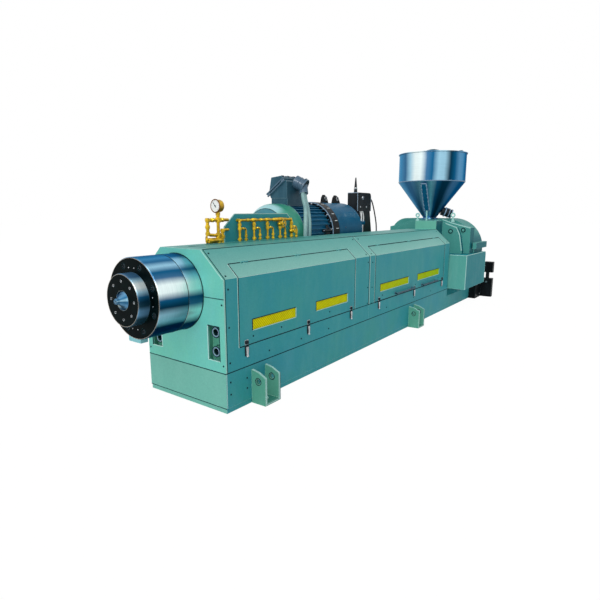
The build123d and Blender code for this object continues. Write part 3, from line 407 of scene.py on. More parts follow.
BLUE = painted("paint_blue", (6, 100, 140), (4, 82, 116), (110, 180, 204), 0.33, gleam=0.06)
SLATE = painted("paint_slate", (48, 94, 112), (36, 74, 92), (150, 190, 205), 0.4, gleam=0.2)
GLAND = painted("paint_gland", (84, 112, 134), (60, 90, 112), (190, 212, 226), 0.3)
LILAC = painted("paint_lilac", (128, 158, 184), (100, 132, 160), (220, 232, 240), 0.35)
BLACK = painted("paint_black", (16, 24, 30), (8, 14, 18), (76, 100, 112), 0.38, highlight_radius=0.004, gleam=0.2)
INK = painted("paint_ink", (6, 11, 14), (3, 6, 9), (70, 92, 104), 0.4, highlight_radius=0.004, gleam=0.12)
# Dark paint for seams and screws, also for the dark lines and discs painted as shade
SEAM_AND_SHADE = painted("dark_seam_and_shade", (14, 48, 56), (10, 38, 46), (30, 70, 76), 0.7, gleam=0.1)
# Pale paint for small parts, also for the pale lines painted as highlights
PALE_AND_HIGHLIGHT = painted("pale_paint_and_highlight", (172, 222, 212), (150, 208, 204), (220, 240, 234), 0.5)
DIAL = painted("dial_white", (244, 246, 244), (234, 238, 238), (250, 250, 250), 0.35)
SHEATH = painted("conduit_sheath", (154, 190, 186), (96, 142, 150), (220, 234, 228), 0.45)
CABLE = painted("cable_sheath", (16, 22, 28), (12, 16, 20), (60, 64, 70), 0.5)
YELLOW = grille_paint("paint_grille")

# Metal
LIT_WAY = (-0.6, -0.3, 0.74)


def metal(name, tint, roughness=0.25, metallic=1.0, shade=0.5, turned_away=None):
    """Bare or plated metal with fine scratches, dull patches, and painted highlights along its edges.

    The last colour is painted shade, for the faces that are turned away from the light.
    """
    shader = Shader(name)
    tint = srgb(*tint)
    scratch = shader.noise(60.0, 4.0, 0.65, stretch=(1.0, 6.0, 2.0))
    patch = shader.noise(22.0, 3.0, 0.6)
    dark = tuple(c * shade for c in tint)
    pale = tuple(min(1.0, c * 1.4 + 0.06) for c in tint)
    colour = shader.mix(shader.spread(patch, 0.35, 0.72), dark, tint)
    # Painted shade on the faces turned away from the light
    if turned_away:
        lit = shader.along(shader.place("Normal"), LIT_WAY)
        colour = shader.mix(shader.spread(lit, -0.15, 0.5, 0.8, 0.0), colour, srgb(*turned_away))
    # Painted highlights along the edges
    colour = shader.mix(shader.edges(0.004, 0.7), colour, pale)
    gloss = shader.times(scratch, 0.2, roughness - 0.1)
    marks = shader.bump(scratch, 0.08, 0.001)
    return shader.set(colour=colour, metallic=metallic, roughness=gloss, normal=marks)


CHROME = metal("chrome_plate", (222, 226, 230), 0.2)
DARK_STEEL = metal("dark_steel", (92, 98, 108), 0.34)
# Brass with brown painted shade on its faces turned away from the light
BRASS = metal("brass_fitting", (255, 206, 30), 0.32, metallic=0.5, shade=0.4, turned_away=(136, 84, 8))
BRONZE = metal("bronze_rim", (140, 88, 26), 0.3, metallic=0.6)
# Pale steel for the rims painted as highlights on the head's faces
RIM_HIGHLIGHT_STEEL = metal("rim_highlight_steel", (176, 170, 158), 0.3, metallic=0.4)

# Painted reflections: tones of polished steel in a bright hall, from its darkest reflection to its glints
NIGHT = srgb(4, 50, 72)
SHADE = srgb(24, 64, 80)
DEEP = srgb(16, 90, 132)
STEEL = srgb(64, 110, 148)
MIST = srgb(100, 154, 192)
HAZE = srgb(160, 208, 230)
GLINT = srgb(240, 255, 255)
STEEL_FACE = srgb(1, 7, 7)


def turned_to(shader, facing, across):
    """How far a surface is turned from a direction, about an axis: 0.5 faces it, 0.25 is 90 degrees off."""
    normal = shader.place("Normal")
    angle = shader.math("ARCTAN2", shader.along(normal, across), shader.along(normal, facing))
    wobble = shader.times(shader.noise(1.8, 3.0), 0.02, -0.01)
    return shader.math("ADD", shader.spread(angle, -math.pi, math.pi), wobble)


def banded(name, facing, across, stretch, reflections, face=None, metallic=1.0):
    """Turned and polished metal with painted reflections as soft bands round its axis, fine lathe marks, and
    painted highlights on its edges.

    Each reflection is a tone with the degrees at which its bands lie, from the facing direction.
    """
    shader = Shader(name)
    # Painted reflections: the tones laid as bands round the axis
    stops = [(0.5 + degrees / 360, tone) for tone, places in reflections for degrees in places]
    colour = shader.ramp(turned_to(shader, facing, across), stops)
    marks = shader.noise(4.0, 4.0, 0.7, stretch=stretch)
    colour = shader.mix(shader.spread(marks, 0.35, 0.8, 0.0, 0.2), colour, srgb(24, 62, 92))
    gleam = 0.5
    if face:
        on_face = shader.spread(shader.math("ABSOLUTE", shader.split(shader.place("Normal"))["X"]), 0.8, 0.9)
        clouds = shader.spread(shader.noise(14.0, 4.0), 0.4, 0.7)
        colour = shader.mix(on_face, colour, shader.mix(clouds, face, tuple(2.2 * c for c in face)))
        metallic = shader.times(shader.math("SUBTRACT", 1.0, on_face), metallic)
        gleam = shader.times(on_face, -0.46, 0.5)
    # Painted highlights along the edges
    colour = shader.mix(shader.edges(0.004, 0.6), colour, srgb(205, 220, 214))
    shader.feed(shader.surface.inputs["Specular Tint"], (0.2, 0.4, 0.6, 1.0))
    gloss = shader.times(marks, 0.14, 0.29)
    grain = shader.bump(marks, 0.06, 0.001)
    return shader.set(colour=colour, metallic=metallic, roughness=gloss, specular=gleam, normal=grain)


ROUND_AXIS = ((0, -0.978, 0.208), (0, 0.208, 0.978), (60.0, 1.2, 1.2))
ROUND_HOPPER = ((-0.934, -0.357, 0), (0.357, -0.934, 0), (1.2, 1.2, 60.0))
HEAD = banded(
    "head_steel", *ROUND_AXIS,
    (
        (SHADE, (-90, -70)), (NIGHT, (-60, -50)), (HAZE, (-40, -30)), (NIGHT, (-20,)), (DEEP, (-10,)),
        (GLINT, (0, 10)), (STEEL, (20,)), (DEEP, (30,)), (HAZE, (40,)), (STEEL, (50,)), (MIST, (60,)),
        (STEEL, (75,)), (MIST, (90,)),
    ),
    face=STEEL_FACE,
)
HEAD_REAR = banded(
    "head_rear_steel", *ROUND_AXIS,
    (
        (SHADE, (-90, -55)), (GLINT, (-40, -30)), (STEEL, (-20,)), (DEEP, (-10,)), (GLINT, (0, 10)),
        (HAZE, (20,)), (DEEP, (30,)), (HAZE, (40, 50)), (STEEL, (60, 90)),
    ),
    face=STEEL_FACE,
)
ADAPTER = banded(
    "adapter_steel", *ROUND_AXIS,
    (
        (SHADE, (-90, -50)), (MIST, (-40, -30)), (SHADE, (-20,)), (NIGHT, (-10,)), (DEEP, (0,)),
        (HAZE, (10,)), (GLINT, (20, 30)), (HAZE, (40,)), (STEEL, (50, 75)), (SHADE, (90,)),
    ),
    face=STEEL_FACE,
    metallic=0.3,
)
TIP = banded(
    "tip_steel", *ROUND_AXIS,
    (
        (SHADE, (-90,)), (MIST, (-50,)), (DEEP, (-20,)), (HAZE, (0,)), (DEEP, (20,)), (MIST, (50,)),
        (STEEL, (90,)),
    ),
    metallic=0.3,
)
HOPPER = banded(
    "hopper_steel", *ROUND_HOPPER,
    (
        (HAZE, (-80,)), (MIST, (-65,)), (STEEL, (-50,)), (HAZE, (-40,)), (GLINT, (-30, -20)), (STEEL, (-10,)),
        (DEEP, (0,)), (HAZE, (10, 20)), (NIGHT, (30,)), (DEEP, (40,)), (MIST, (50, 60)), (STEEL, (70, 80)),
    ),
)
CONE = banded(
    "cone_steel", *ROUND_HOPPER,
    (
        (HAZE, (-80,)), (MIST, (-60,)), (STEEL, (-50, -40)), (MIST, (-30,)), (HAZE, (-20,)), (MIST, (-10,)),
        (HAZE, (0,)), (DEEP, (10,)), (NIGHT, (20, 30)), (STEEL, (40, 50)), (DEEP, (60,)), (STEEL, (80,)),
    ),
)

FINISH = {
    TEAL: "near_side_front near_side_rear roof_panel far_side_panels rear_panel manifold_plate "
    "motor_stand barrel_supports cover_hinges",
    BASE: "base_frame",
    FRONT: "front_panel_upper front_panel_lower",
    JUNCTION: "head_junction_box",
    PORT: "hose_ports",
    COVER: "front_cover rear_cover",
    CASTING: "feed_housing gearbox_case drive_guard",
    FEED: "feed_block",
    BOX: "side_box",
    GREEN: "clevises",
    DOME: "motor_dome",
    BLUE: "motor_body motor_adaptor sight_strip",
    SLATE: "terminal_box terminal_lid",
    GLAND: "cable_gland",
    BLACK: "switch_column switch_unit feeder_drive",
    INK: "motor_ring lifting_lugs oil_pump",
    YELLOW: "front_cover_grilles rear_cover_grilles",
    CHROME: "front_latch_hooks rear_latch_hooks latch_levers",
    TIP: "screw",
    DARK_STEEL: "rear_cover_grips barrel heater_bands",
    BRASS: "brass_manifold gauge_piping pressure_gauge",
    HEAD: "head_front_ring",
    HEAD_REAR: "head_rear_ring",
    ADAPTER: "die_adapter",
    HOPPER: "hopper_cylinder hopper_lid",
    CONE: "hopper_cone",
}
for material, names in FINISH.items():
    for name in names.split():
        data = NODES[name].data
        data.materials.clear()
        data.materials.append(material)
for name, material in (("power_conduit", SHEATH), ("signal_conduit", SHEATH), ("switch_cable", CABLE)):
    cords[name].data.materials.append(material)

# Directions
FRONT_WAY = (-1, 0, 0)
SIDE_WAY = (0, -1, 0)
UP = (0, 0, 1)
ALONG = (1, 0, 0)
SLOPE_WAY = Vector((0, -SLOPE, 1)).normalized()
SCREW_RISE = 0.004


# Mesh helpers
class Shape:
    """A mesh of turned, swept and chamfered forms, with its points given by station, y and z."""

    def __init__(self):
        self.mesh = bmesh.new()

    def ring(self, centre, side, other, radius, sides):
        """The points of a circle in the plane of two directions."""
        angles = [2 * math.pi * number / sides for number in range(sides)]
        return [
            self.mesh.verts.new(centre + radius * (math.cos(angle) * side + math.sin(angle) * other))
            for angle in angles
        ]

    def skin(self, rings, closed=False):
        """Faces from ring to ring, and over both ends unless the rings close on themselves."""
        count = len(rings[0])
        for lower, upper in list(zip(rings, rings[1:])) + ([(rings[-1], rings[0])] if closed else []):
            for number in range(count):
                after = (number + 1) % count
                self.mesh.faces.new((lower[number], lower[after], upper[after], upper[number]))
        if not closed:
            self.mesh.faces.new(list(reversed(rings[0])))
            self.mesh.faces.new(rings[-1])

    def turned(self, start, end, profile, sides=32, open_bore=False):
        """Revolve a profile of (share of the way, radius) about the line between two points."""
        axis = Vector(end) - Vector(start)
        side, other, _ = axis.to_track_quat("Z", "Y").to_matrix().transposed()
        rings = [
            self.ring(Vector(start) + axis * share, side, other, radius, sides) for share, radius in profile
        ]
        self.skin(rings, open_bore)

    def bar(self, start, end, radius, edge=0.0, sides=24):
        """A round bar with chamfered ends."""
        share = min(0.45, edge / (Vector(end) - Vector(start)).length)
        profile = [(0, radius - edge), (share, radius), (1 - share, radius), (1, radius - edge)]
        self.turned(start, end, profile if edge else [(0, radius), (1, radius)], sides)

    def screw(self, foot, way, radius, rise=SCREW_RISE, sides=12):
        """A low domed head."""
        profile = [(0, radius), (0.5, radius), (0.85, radius * 0.8), (1, radius * 0.4)]
        self.turned(foot, Vector(foot) + Vector(way) * rise, profile, sides)

    def plug(self, foot, way, radius, rise, taper, sides=6):
        """A nut or a cap with a chamfer at its top."""
        profile = [(0, radius), (0.7, radius), (1, radius - taper)]
        self.turned(foot, Vector(foot) + Vector(way) * rise, profile, sides)

    def ball(self, centre, radius, steps=8):
        """A round knob."""
        angles = [math.pi * (number + 0.5) / steps - math.pi / 2 for number in range(steps)]
        profile = [((math.sin(angle) + 1) / 2, radius * math.cos(angle)) for angle in angles]
        lift = Vector((0, 0, radius))
        self.turned(Vector(centre) - lift, Vector(centre) + lift, profile, 20)

    def brick(self, low, high, edge):
        """A block with chamfered edges."""
        middle = (Vector(low) + Vector(high)) / 2
        size = Vector(high) - Vector(low)
        place = Matrix.Translation(middle) @ Matrix.Diagonal((*size, 1.0))
        made = bmesh.ops.create_cube(self.mesh, size=1.0, matrix=place)
        edges = {line for vert in made["verts"] for line in vert.link_edges}
        bmesh.ops.bevel(self.mesh, geom=list(edges), offset=edge, segments=2, affect="EDGES")

    def swept(self, points, radius, bend=0.0, sides=16, closed=False):
        """A round pipe through the points, with its corners rounded."""
        path = [Vector(point) for point in points]
        path = rounded(path, bend) if bend else path
        rings = []
        side = None
        count = len(path)
        for number, point in enumerate(path):
            before = path[number - 1] if number or closed else point
            after = path[(number + 1) % count] if number < count - 1 or closed else point
            along = (after - before).normalized()
            side = side or along.orthogonal().normalized()
            side = (side - along * side.dot(along)).normalized()
            rings.append(self.ring(point, side, along.cross(side), radius, sides))
        self.skin(rings, closed)

    def hoop(self, centre, axis, radius, thickness, steps=40):
        """A round ring about an axis."""
        turn = Vector(axis).to_track_quat("Z", "Y").to_matrix()
        points = [
            Vector(centre) + turn @ Vector((radius * math.cos(a), radius * math.sin(a), 0))
            for a in (2 * math.pi * number / steps for number in range(steps))
        ]
        self.swept(points, thickness, sides=10, closed=True)

    def line(self, normal, width, *points, proud=0.0012):
        """A flat line on a face, from each point to the next."""
        lift = Vector(normal).normalized() * proud
        for start, end in zip(map(Vector, points), map(Vector, points[1:])):
            side = (end - start).cross(Vector(normal)).normalized() * width / 2
            lower = [start - side, start + side, end + side, end - side]
            verts = [self.mesh.verts.new(point - lift / 2) for point in lower]
            verts += [self.mesh.verts.new(point + lift) for point in lower]
            for face in ((0, 1, 2, 3), (7, 6, 5, 4), (0, 4, 5, 1), (1, 5, 6, 2), (2, 6, 7, 3), (3, 7, 4, 0)):
                self.mesh.faces.new([verts[corner] for corner in face])

    def fitting(self, centre, way, length, radius):
        """A hexagon nut with a collar at each end, on a pipe."""
        way = Vector(way).normalized()
        start = Vector(centre) - way * length / 2
        end = Vector(centre) + way * length / 2
        self.turned(start, end, [(0, radius * 0.8), (0.12, radius), (0.88, radius), (1, radius * 0.8)], 6)
        self.bar(start - way * length * 0.35, end + way * length * 0.35, radius * 0.82, 0.003, 18)

    def tap(self, centre, way, reach):
        """A small valve: a body, a bonnet and a round handwheel."""
        way = Vector(way).normalized()
        centre = Vector(centre)
        wheel = centre + way * reach
        self.ball(centre, 0.03)
        self.bar(centre, centre + way * reach * 0.7, 0.012, 0.002, 14)
        self.fitting(centre + way * reach * 0.35, way, 0.016, 0.019)
        self.hoop(wheel, way, 0.034, 0.006, 24)
        self.bar(wheel - way * 0.006, wheel + way * 0.008, 0.011, 0.002, 14)
        across = way.orthogonal().normalized()
        for spoke in (across, way.cross(across)):
            self.bar(wheel - spoke * 0.032, wheel + spoke * 0.032, 0.004, 0.0, 8)

    def piece(self, name, material, body="machine", replaces=()):
        """Turn the mesh into an object in the frame that rides on a body."""
        bmesh.ops.translate(self.mesh, verts=self.mesh.verts, vec=(FRONT_X, 0, 0))
        bmesh.ops.recalc_face_normals(self.mesh, faces=self.mesh.faces)
        data = bpy.data.meshes.new(name)
        self.mesh.to_mesh(data)
        self.mesh.free()
        for polygon in data.polygons:
            polygon.use_smooth = True
        data.set_sharp_from_angle(angle=math.radians(32))
        data.materials.append(material)
        thing = bpy.data.objects.new(name, data)
        bpy.context.scene.collection.objects.link(thing)
        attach(thing, body)
        if replaces:
            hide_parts(*replaces)


def shapes(count):
    """As many empty meshes as asked for."""
    return [Shape() for _ in range(count)]


def rounded(points, bend, steps=6):
    """The points with each corner replaced by a smooth bend."""
    path = [points[0]]
    for before, corner, after in zip(points, points[1:], points[2:]):
        reach_in = min(bend, 0.45 * (before - corner).length)
        reach_out = min(bend, 0.45 * (after - corner).length)
        first = corner + (before - corner).normalized() * reach_in
        last = corner + (after - corner).normalized() * reach_out
        for step in range(steps + 1):
            share = step / steps
            path.append(first.lerp(corner, share).lerp(corner.lerp(last, share), share))
    path.append(points[-1])
    return path


def slope_z(y):
    """The height of the near shoulder's outer face."""
    return SHOULDER_Z + (y - SIDE_Y) * SLOPE


def round_about(centre, angle, radius):
    """The point at an angle round a centre, in the plane across the machine."""
    return Vector(centre) + radius * Vector((0, math.cos(angle), math.sin(angle)))


def piped(station, z):
    """A point in the plane of the brass pipes."""
    return (station, PIPE_Y, z)


# Seams, and pale lines painted as highlights on panel edges
PLINTH_TOP = 0.045
FRONT_COLUMN = 0.052
SEAM_WIDTH = 0.008
FINE_SEAM = SEAM_WIDTH * 0.8
GAP_WIDENING = {"front": 1.2, "rear": 1.7}
HIGHLIGHT_WIDTH = 0.006
COVER_GAP = 0.004


def girdle(shape, station, low, width, slope_width, top_y=-ROOF_HALF, side_way=SIDE_WAY):
    """A line up the near side and over the shoulder's slope."""
    shape.line(side_way, width, (station, SIDE_Y, low), (station, SIDE_Y, SHOULDER_Z))
    shape.line(SLOPE_WAY, slope_width, (station, SIDE_Y, SHOULDER_Z), (station, top_y, slope_z(top_y)))


def panel_seams():
    """Dark joints between the panels, and pale lines painted as highlights along the corners that catch the
    light and beside the middle joint.
    """
    dark, pale = shapes(2)
    low = COVER_LOW - COVER_GAP
    dark.line(FRONT_WAY, SEAM_WIDTH, (0, SIDE_Y, BASE_TOP), (0, -SIDE_Y, BASE_TOP))
    dark.line(SIDE_WAY, SEAM_WIDTH, (0, SIDE_Y, BASE_TOP), (HOUSING_END, SIDE_Y, BASE_TOP))
    for outer, inner in ((SIDE_Y, -0.2), (-SIDE_Y, 0.33)):
        dark.line(FRONT_WAY, FINE_SEAM, (0, outer, FRONT_SEAM_Z), (0, inner, FRONT_SEAM_Z))
    girdle(dark, 0.02, BASE_TOP, FINE_SEAM, SEAM_WIDTH)
    dark.line(FRONT_WAY, FINE_SEAM, (0, SIDE_Y, PLINTH_TOP), (0, -SIDE_Y, PLINTH_TOP))
    # Pale lines painted as highlights on the front corner and the front of the slope
    pale.line(SIDE_WAY, HIGHLIGHT_WIDTH, (0.008, SIDE_Y, 0.05), (0.008, SIDE_Y, SHOULDER_Z))
    pale.line(FRONT_WAY, HIGHLIGHT_WIDTH, (0, SIDE_Y + 0.004, SHOULDER_Z), (0, -ROOF_HALF, ROOF_Z - 0.004))
    dark.line((0, -0.4, 1), SEAM_WIDTH, (0.02, -ROOF_HALF, ROOF_Z), (HOUSING_END, -ROOF_HALF, ROOF_Z))
    for station, shape in ((MID_SEAM - 0.009, dark), (MID_SEAM + 0.005, pale)):
        girdle(shape, station, COVER_LOW, 0.012, SEAM_WIDTH)
        shape.line(UP, SEAM_WIDTH, (station, -ROOF_HALF, ROOF_Z), (station, ROOF_HALF, ROOF_Z))
    dark.line(SIDE_WAY, SEAM_WIDTH, (COVERS["front"][1], SIDE_Y, low), (COVERS["rear"][0], SIDE_Y, low))
    dark.piece("panel_seams", SEAM_AND_SHADE)
    pale.piece("panel_highlights", PALE_AND_HIGHLIGHT)


def cover_seams(name):
    """The dark gap round a cover and the pale line painted as a highlight on the edge that frames it."""
    start, end = COVERS[name]
    dark, pale = shapes(2)
    low = COVER_LOW - COVER_GAP
    wide = SEAM_WIDTH * GAP_WIDENING[name]
    for station, outer in ((start - COVER_GAP, -0.008), (end + COVER_GAP, 0.010)):
        girdle(dark, station, low, wide, wide, COVER_TOP_Y)
        # Pale lines painted as highlights just outside each gap
        girdle(pale, station + outer, low, HIGHLIGHT_WIDTH, HIGHLIGHT_WIDTH, COVER_TOP_Y)
    for way, y, z in ((SIDE_WAY, SIDE_Y, low), (SLOPE_WAY, COVER_TOP_Y, slope_z(COVER_TOP_Y))):
        dark.line(way, wide, (start, y, z), (end, y, z))
    dark.piece(name + "_cover_gap", SEAM_AND_SHADE)
    pale.piece(name + "_cover_highlight", PALE_AND_HIGHLIGHT)


def cover_dress(name):
    """A pale line painted as a highlight along a cover's shoulder bend, and round its windows painted shadow
    along the top and front edges with painted highlights along the bottom and rear edges.
    """
    body = name + "_cover_body"
    start, end = COVERS[name]
    bend_z = SHOULDER_Z - 0.002
    dark, pale = shapes(2)
    # Painted highlight along the bend of the shoulder
    pale.line(SIDE_WAY, 0.004, (start, SIDE_Y, bend_z), (end, SIDE_Y, bend_z))
    for first, last in WINDOWS[name]:
        # Painted shadow along each window's top and front edges, painted highlights along its bottom and rear
        # edges
        dark.line(SIDE_WAY, 0.008, (first, SIDE_Y, WINDOW_HIGH), (last, SIDE_Y, WINDOW_HIGH))
        dark.line(SIDE_WAY, 0.010, (first, SIDE_Y, WINDOW_LOW), (first, SIDE_Y, WINDOW_HIGH))
        pale.line(SIDE_WAY, 0.006, (first, SIDE_Y, WINDOW_LOW), (last, SIDE_Y, WINDOW_LOW))
        pale.line(SIDE_WAY, 0.008, (last, SIDE_Y, WINDOW_LOW), (last, SIDE_Y, WINDOW_HIGH))
    dark.piece(name + "_window_shade", SEAM_AND_SHADE, body)
    pale.piece(name + "_window_highlight", PALE_AND_HIGHLIGHT, body)


PANEL_SCREW = 0.0085
SCREW_COLUMNS = (
    (FRONT_COLUMN, (0.161, 0.27, 0.439, 0.745, 1.066)),
    (0.254, (0.156, 0.25)),
    (MID_SEAM - 0.045, (0.567, 0.767, 1.079)),
    (MID_SEAM + 0.072, (0.55, 0.754, 1.068)),
)
LOW_SCREWS = (0.56, 1.061, 1.568, 3.0, 3.9, 4.6)
COVER_SCREWS = {"front": (0.346, 0.743, 1.587), "rear": (2.86, 3.96, 4.9)}
COVER_SCREW_Z = 0.612


def screw_heads():
    """Small dark screws on the side frame, the shoulder, the base, the front and the covers."""
    shape = Shape()
    spots = [(station, z) for station, heights in SCREW_COLUMNS for z in heights]
    for station, z in spots + [(station, LEVER_LOW - 0.014) for station in LOW_SCREWS]:
        shape.screw((station, SIDE_Y, z), SIDE_WAY, PANEL_SCREW)
    for station in (FRONT_COLUMN, MID_SEAM - 0.06, MID_SEAM + 0.075, 5.3):
        for y in (-0.49, -0.30):
            shape.screw((station, y, slope_z(y)), SLOPE_WAY, PANEL_SCREW)
    for y, z in ((-0.49, 0.42), (-0.49, 0.94), (0.49, 0.42)):
        shape.screw((0, y, z), FRONT_WAY, PANEL_SCREW)
    shape.piece("panel_screws", SEAM_AND_SHADE)
    for name, stations in COVER_SCREWS.items():
        shape = Shape()
        for station in stations:
            shape.screw((station, SIDE_Y, COVER_SCREW_Z), SIDE_WAY, PANEL_SCREW)
        shape.piece(name + "_cover_screws", SEAM_AND_SHADE, name + "_cover_body")


# Latches
def latch_plate(shape, station, low, high):
    """A thin plate on the near side with softened edges."""
    start = (station - LATCH_HALF, SIDE_Y - LATCH_PLATE, low)
    shape.brick(start, (station + LATCH_HALF, SIDE_Y, high), 0.0015)


def latch_hooks(name):
    """A keeper plate with a curled hook on the cover, above each latch."""
    plates, hooks = shapes(2)
    for station in LATCHES[name]:
        latch_plate(plates, station, COVER_LOW + 0.004, HOOK_TOP)
        for offset in (-0.010, 0.0, 0.010):
            curl = [(station + offset, SIDE_Y - out, HOOK_TOP - down) for out, down in HOOK_CURL]
            hooks.swept(curl, 0.0055, 0.006, 8)
        for offset in (-0.017, 0.017):
            foot = (station + offset, SIDE_Y - LATCH_PLATE, COVER_LOW + 0.012)
            hooks.screw(foot, SIDE_WAY, 0.0035, 0.003, 10)
    plates.piece(name + "_latch_keepers", CHROME, name + "_cover_body", [name + "_latch_hooks"])
    hooks.piece(name + "_latch_curls", BLACK, name + "_cover_body")


def latch_handles():
    """The pulled-down levers below the covers: a base plate, a curved lever and its rolled end."""
    levers, bases = shapes(2)
    middle = (LEVER_LOW + LEVER_HIGH) / 2
    arm = (
        (0.010, 0.009, LEVER_HIGH - 0.006),
        (0.007, 0.013, middle + 0.01),
        (0.004, 0.010, LEVER_LOW + 0.012),
    )
    roll_y, roll_z, roll_half = SIDE_Y - 0.0095, LEVER_LOW + 0.009, 0.013
    pin_y, pin_low, pin_high = SIDE_Y - 0.007, middle - 0.01, LEVER_HIGH + 0.004
    for station in LATCHES["front"] + LATCHES["rear"]:
        latch_plate(bases, station, LEVER_LOW + 0.012, LEVER_HIGH)
        for way in (-1, 0, 1):
            levers.swept([(station + way * aside, SIDE_Y - out, z) for aside, out, z in arm], 0.0065, 0.02, 8)
        left, right = station - roll_half, station + roll_half
        levers.bar((left, roll_y, roll_z), (right, roll_y, roll_z), 0.009, 0.002, 14)
        for pin in (station - 0.0195, station + 0.0195):
            bases.bar((pin, pin_y, pin_low), (pin, pin_y, pin_high), 0.0035, 0.0, 8)
    levers.piece("latch_handles", CHROME, "machine", ["latch_levers"])
    bases.piece("latch_bases", BLACK)


def grips():
    """Rubber sleeves and collars on the rear cover's grips."""
    shape = Shape()
    y = SIDE_Y - GRIP_REACH
    for start, end in GRIPS:
        middle = (start + end) / 2
        for first, last, radius in (
            (start + 0.01, start + 0.16, 0.0145),
            (middle - 0.11, middle + 0.10, 0.0135),
            (end - 0.15, end - 0.02, 0.0145),
        ):
            shape.bar((first, y, GRIP_Z), (last, y, GRIP_Z), radius, 0.004, 16)
        for station in (start + GRIP_REACH, end - GRIP_REACH):
            foot = (station, SIDE_Y - 0.008, GRIP_Z)
            shape.turned(foot, (station, SIDE_Y, GRIP_Z), [(0, 0.014), (0.4, 0.02), (1, 0.02)], 20)
    shape.piece("grip_sleeves", SLATE, "rear_cover_body")


# Head
HEAD_CENTRE = (HEAD_FACE, AXIS_Y, AXIS_Z)
ADAPTER_CENTRE = (ADAPTER_FACE, AXIS_Y, AXIS_Z)
SMALL_SCREW_CIRCLE = 0.252
HOLE_RIM = 0.0095
SOCKET_PROFILE = [(0, 0.020), (0.8, 0.020), (1, 0.018), (1, 0.010), (0.35, 0.009)]
TIP_START = -0.5
TIP_END = -0.602
TIP_PROFILE = [
    (0, 0.074), (0.28, 0.072), (0.42, 0.05), (0.5, 0.034), (0.8, 0.027), (0.97, 0.024), (1, 0.021),
    (1, 0.012), (0.8, 0.011),
]


def head_bolts():
    """Sunk socket screws round the head, small bright screws and hole rims, and pale rims painted as
    highlights on the faces' edges.
    """
    sunk, bright, rims, joint = shapes(4)
    step = math.pi / 4
    for number in range(8):
        angle = (number + 0.5) * step
        centre = round_about(HEAD_CENTRE, angle, HEAD_BOLT_CIRCLE)
        sunk.turned(centre + Vector((0.014, 0, 0)), centre + Vector((0.003, 0, 0)), SOCKET_PROFILE, 24)
        joint.hoop(centre, FRONT_WAY, 0.0245, 0.0012)
        for turn in (-0.14, 0.14) if number % 2 else ():
            spot = round_about(HEAD_CENTRE, angle + step / 2 + turn, SMALL_SCREW_CIRCLE)
            bright.screw(spot, FRONT_WAY, 0.006)
        hole = round_about(ADAPTER_CENTRE, number * step, ADAPTER_BOLT_CIRCLE)
        bright.hoop(hole, FRONT_WAY, HOLE_RIM, 0.0014, 16)
    # The first two hoops are pale rims painted as highlights on the face edges
    for shape, station, radius, width in (
        (rims, HEAD_FACE - 0.0005, HEAD_RADIUS - 0.006, 0.0020),
        (rims, ADAPTER_FACE - 0.0005, ADAPTER_RADIUS - 0.006, 0.0018),
        (joint, HEAD_JOINT, HEAD_RADIUS - 0.0025, 0.0042),
        (joint, -0.003, HEAD_RADIUS + 0.001, 0.004),
        (joint, HEAD_FACE + 0.002, ADAPTER_RADIUS, 0.003),
    ):
        shape.hoop((station, AXIS_Y, AXIS_Z), FRONT_WAY, radius, width, 96)
    sunk.piece("head_bolts", BLACK)
    bright.piece("head_small_screws", CHROME)
    rims.piece("head_rim_highlights", RIM_HIGHLIGHT_STEEL)
    joint.piece("head_joint", SEAM_AND_SHADE)


def screw_tip():
    """The screw's tip: a faceted nose with a centre hole."""
    shape = Shape()
    shape.turned((TIP_START, AXIS_Y, AXIS_Z), (TIP_END, AXIS_Y, AXIS_Z), TIP_PROFILE, 16)
    shape.piece("screw_tip", TIP, "screw_body")


# Hose ports
NUT_PROFILE = [(0, 0.0465), (0, 0.056), (0.7, 0.056), (1, 0.051), (1, 0.0465)]
# A dark sleeve painted as the shade inside each port bore
BORE_SHADE_PROFILE = [(0, 0.0299), (1, 0.0299), (1, 0.0285), (0, 0.0285)]


def port_trims():
    """Pale lines painted as highlights on the port windows' inner and lower edges and dark lines painted as
    shade on their outer and upper edges, and rings, nuts, and dark sleeves and discs painted as shade in the
    port mouths.
    """
    tan, rings, dark = shapes(3)
    low, high = PORT_SPAN_Z
    for side in (-1, 1):
        inner, outer = [side * y for y in PORT_SPAN_Y]
        first, last = sorted((inner, outer))
        # Pale lines painted as highlights on the inner and lower edges, dark lines painted as shade on the
        # outer and upper edges
        for y, shape in ((inner, tan), (outer, dark)):
            shape.line(FRONT_WAY, 0.010, (0.001, y, low), (0.001, y, high))
        dark.line(FRONT_WAY, 0.010, (0.001, first, high), (0.001, last, high))
        tan.line(FRONT_WAY, 0.006, (0.001, first, low), (0.001, last, low))
        for z in PORT_HEIGHTS:
            y = side * PORT_Y
            rings.hoop((0.026, y, z), FRONT_WAY, 0.036, 0.005)
            dark.hoop((0.027, y, z), FRONT_WAY, 0.0455, 0.004)
            dark.turned((0.069, y, z), (0.060, y, z), NUT_PROFILE, 6, open_bore=True)
            # Painted shade in the bore: a dark sleeve and a dark disc behind it
            dark.turned((0.028, y, z), (0.078, y, z), BORE_SHADE_PROFILE, 32, open_bore=True)
            dark.bar((0.079, y, z), (0.083, y, z), 0.036, sides=32)
    tan.piece("port_highlights", PALE_AND_HIGHLIGHT)
    dark.piece("port_shades", SEAM_AND_SHADE)
    rings.piece("port_rings", LILAC)


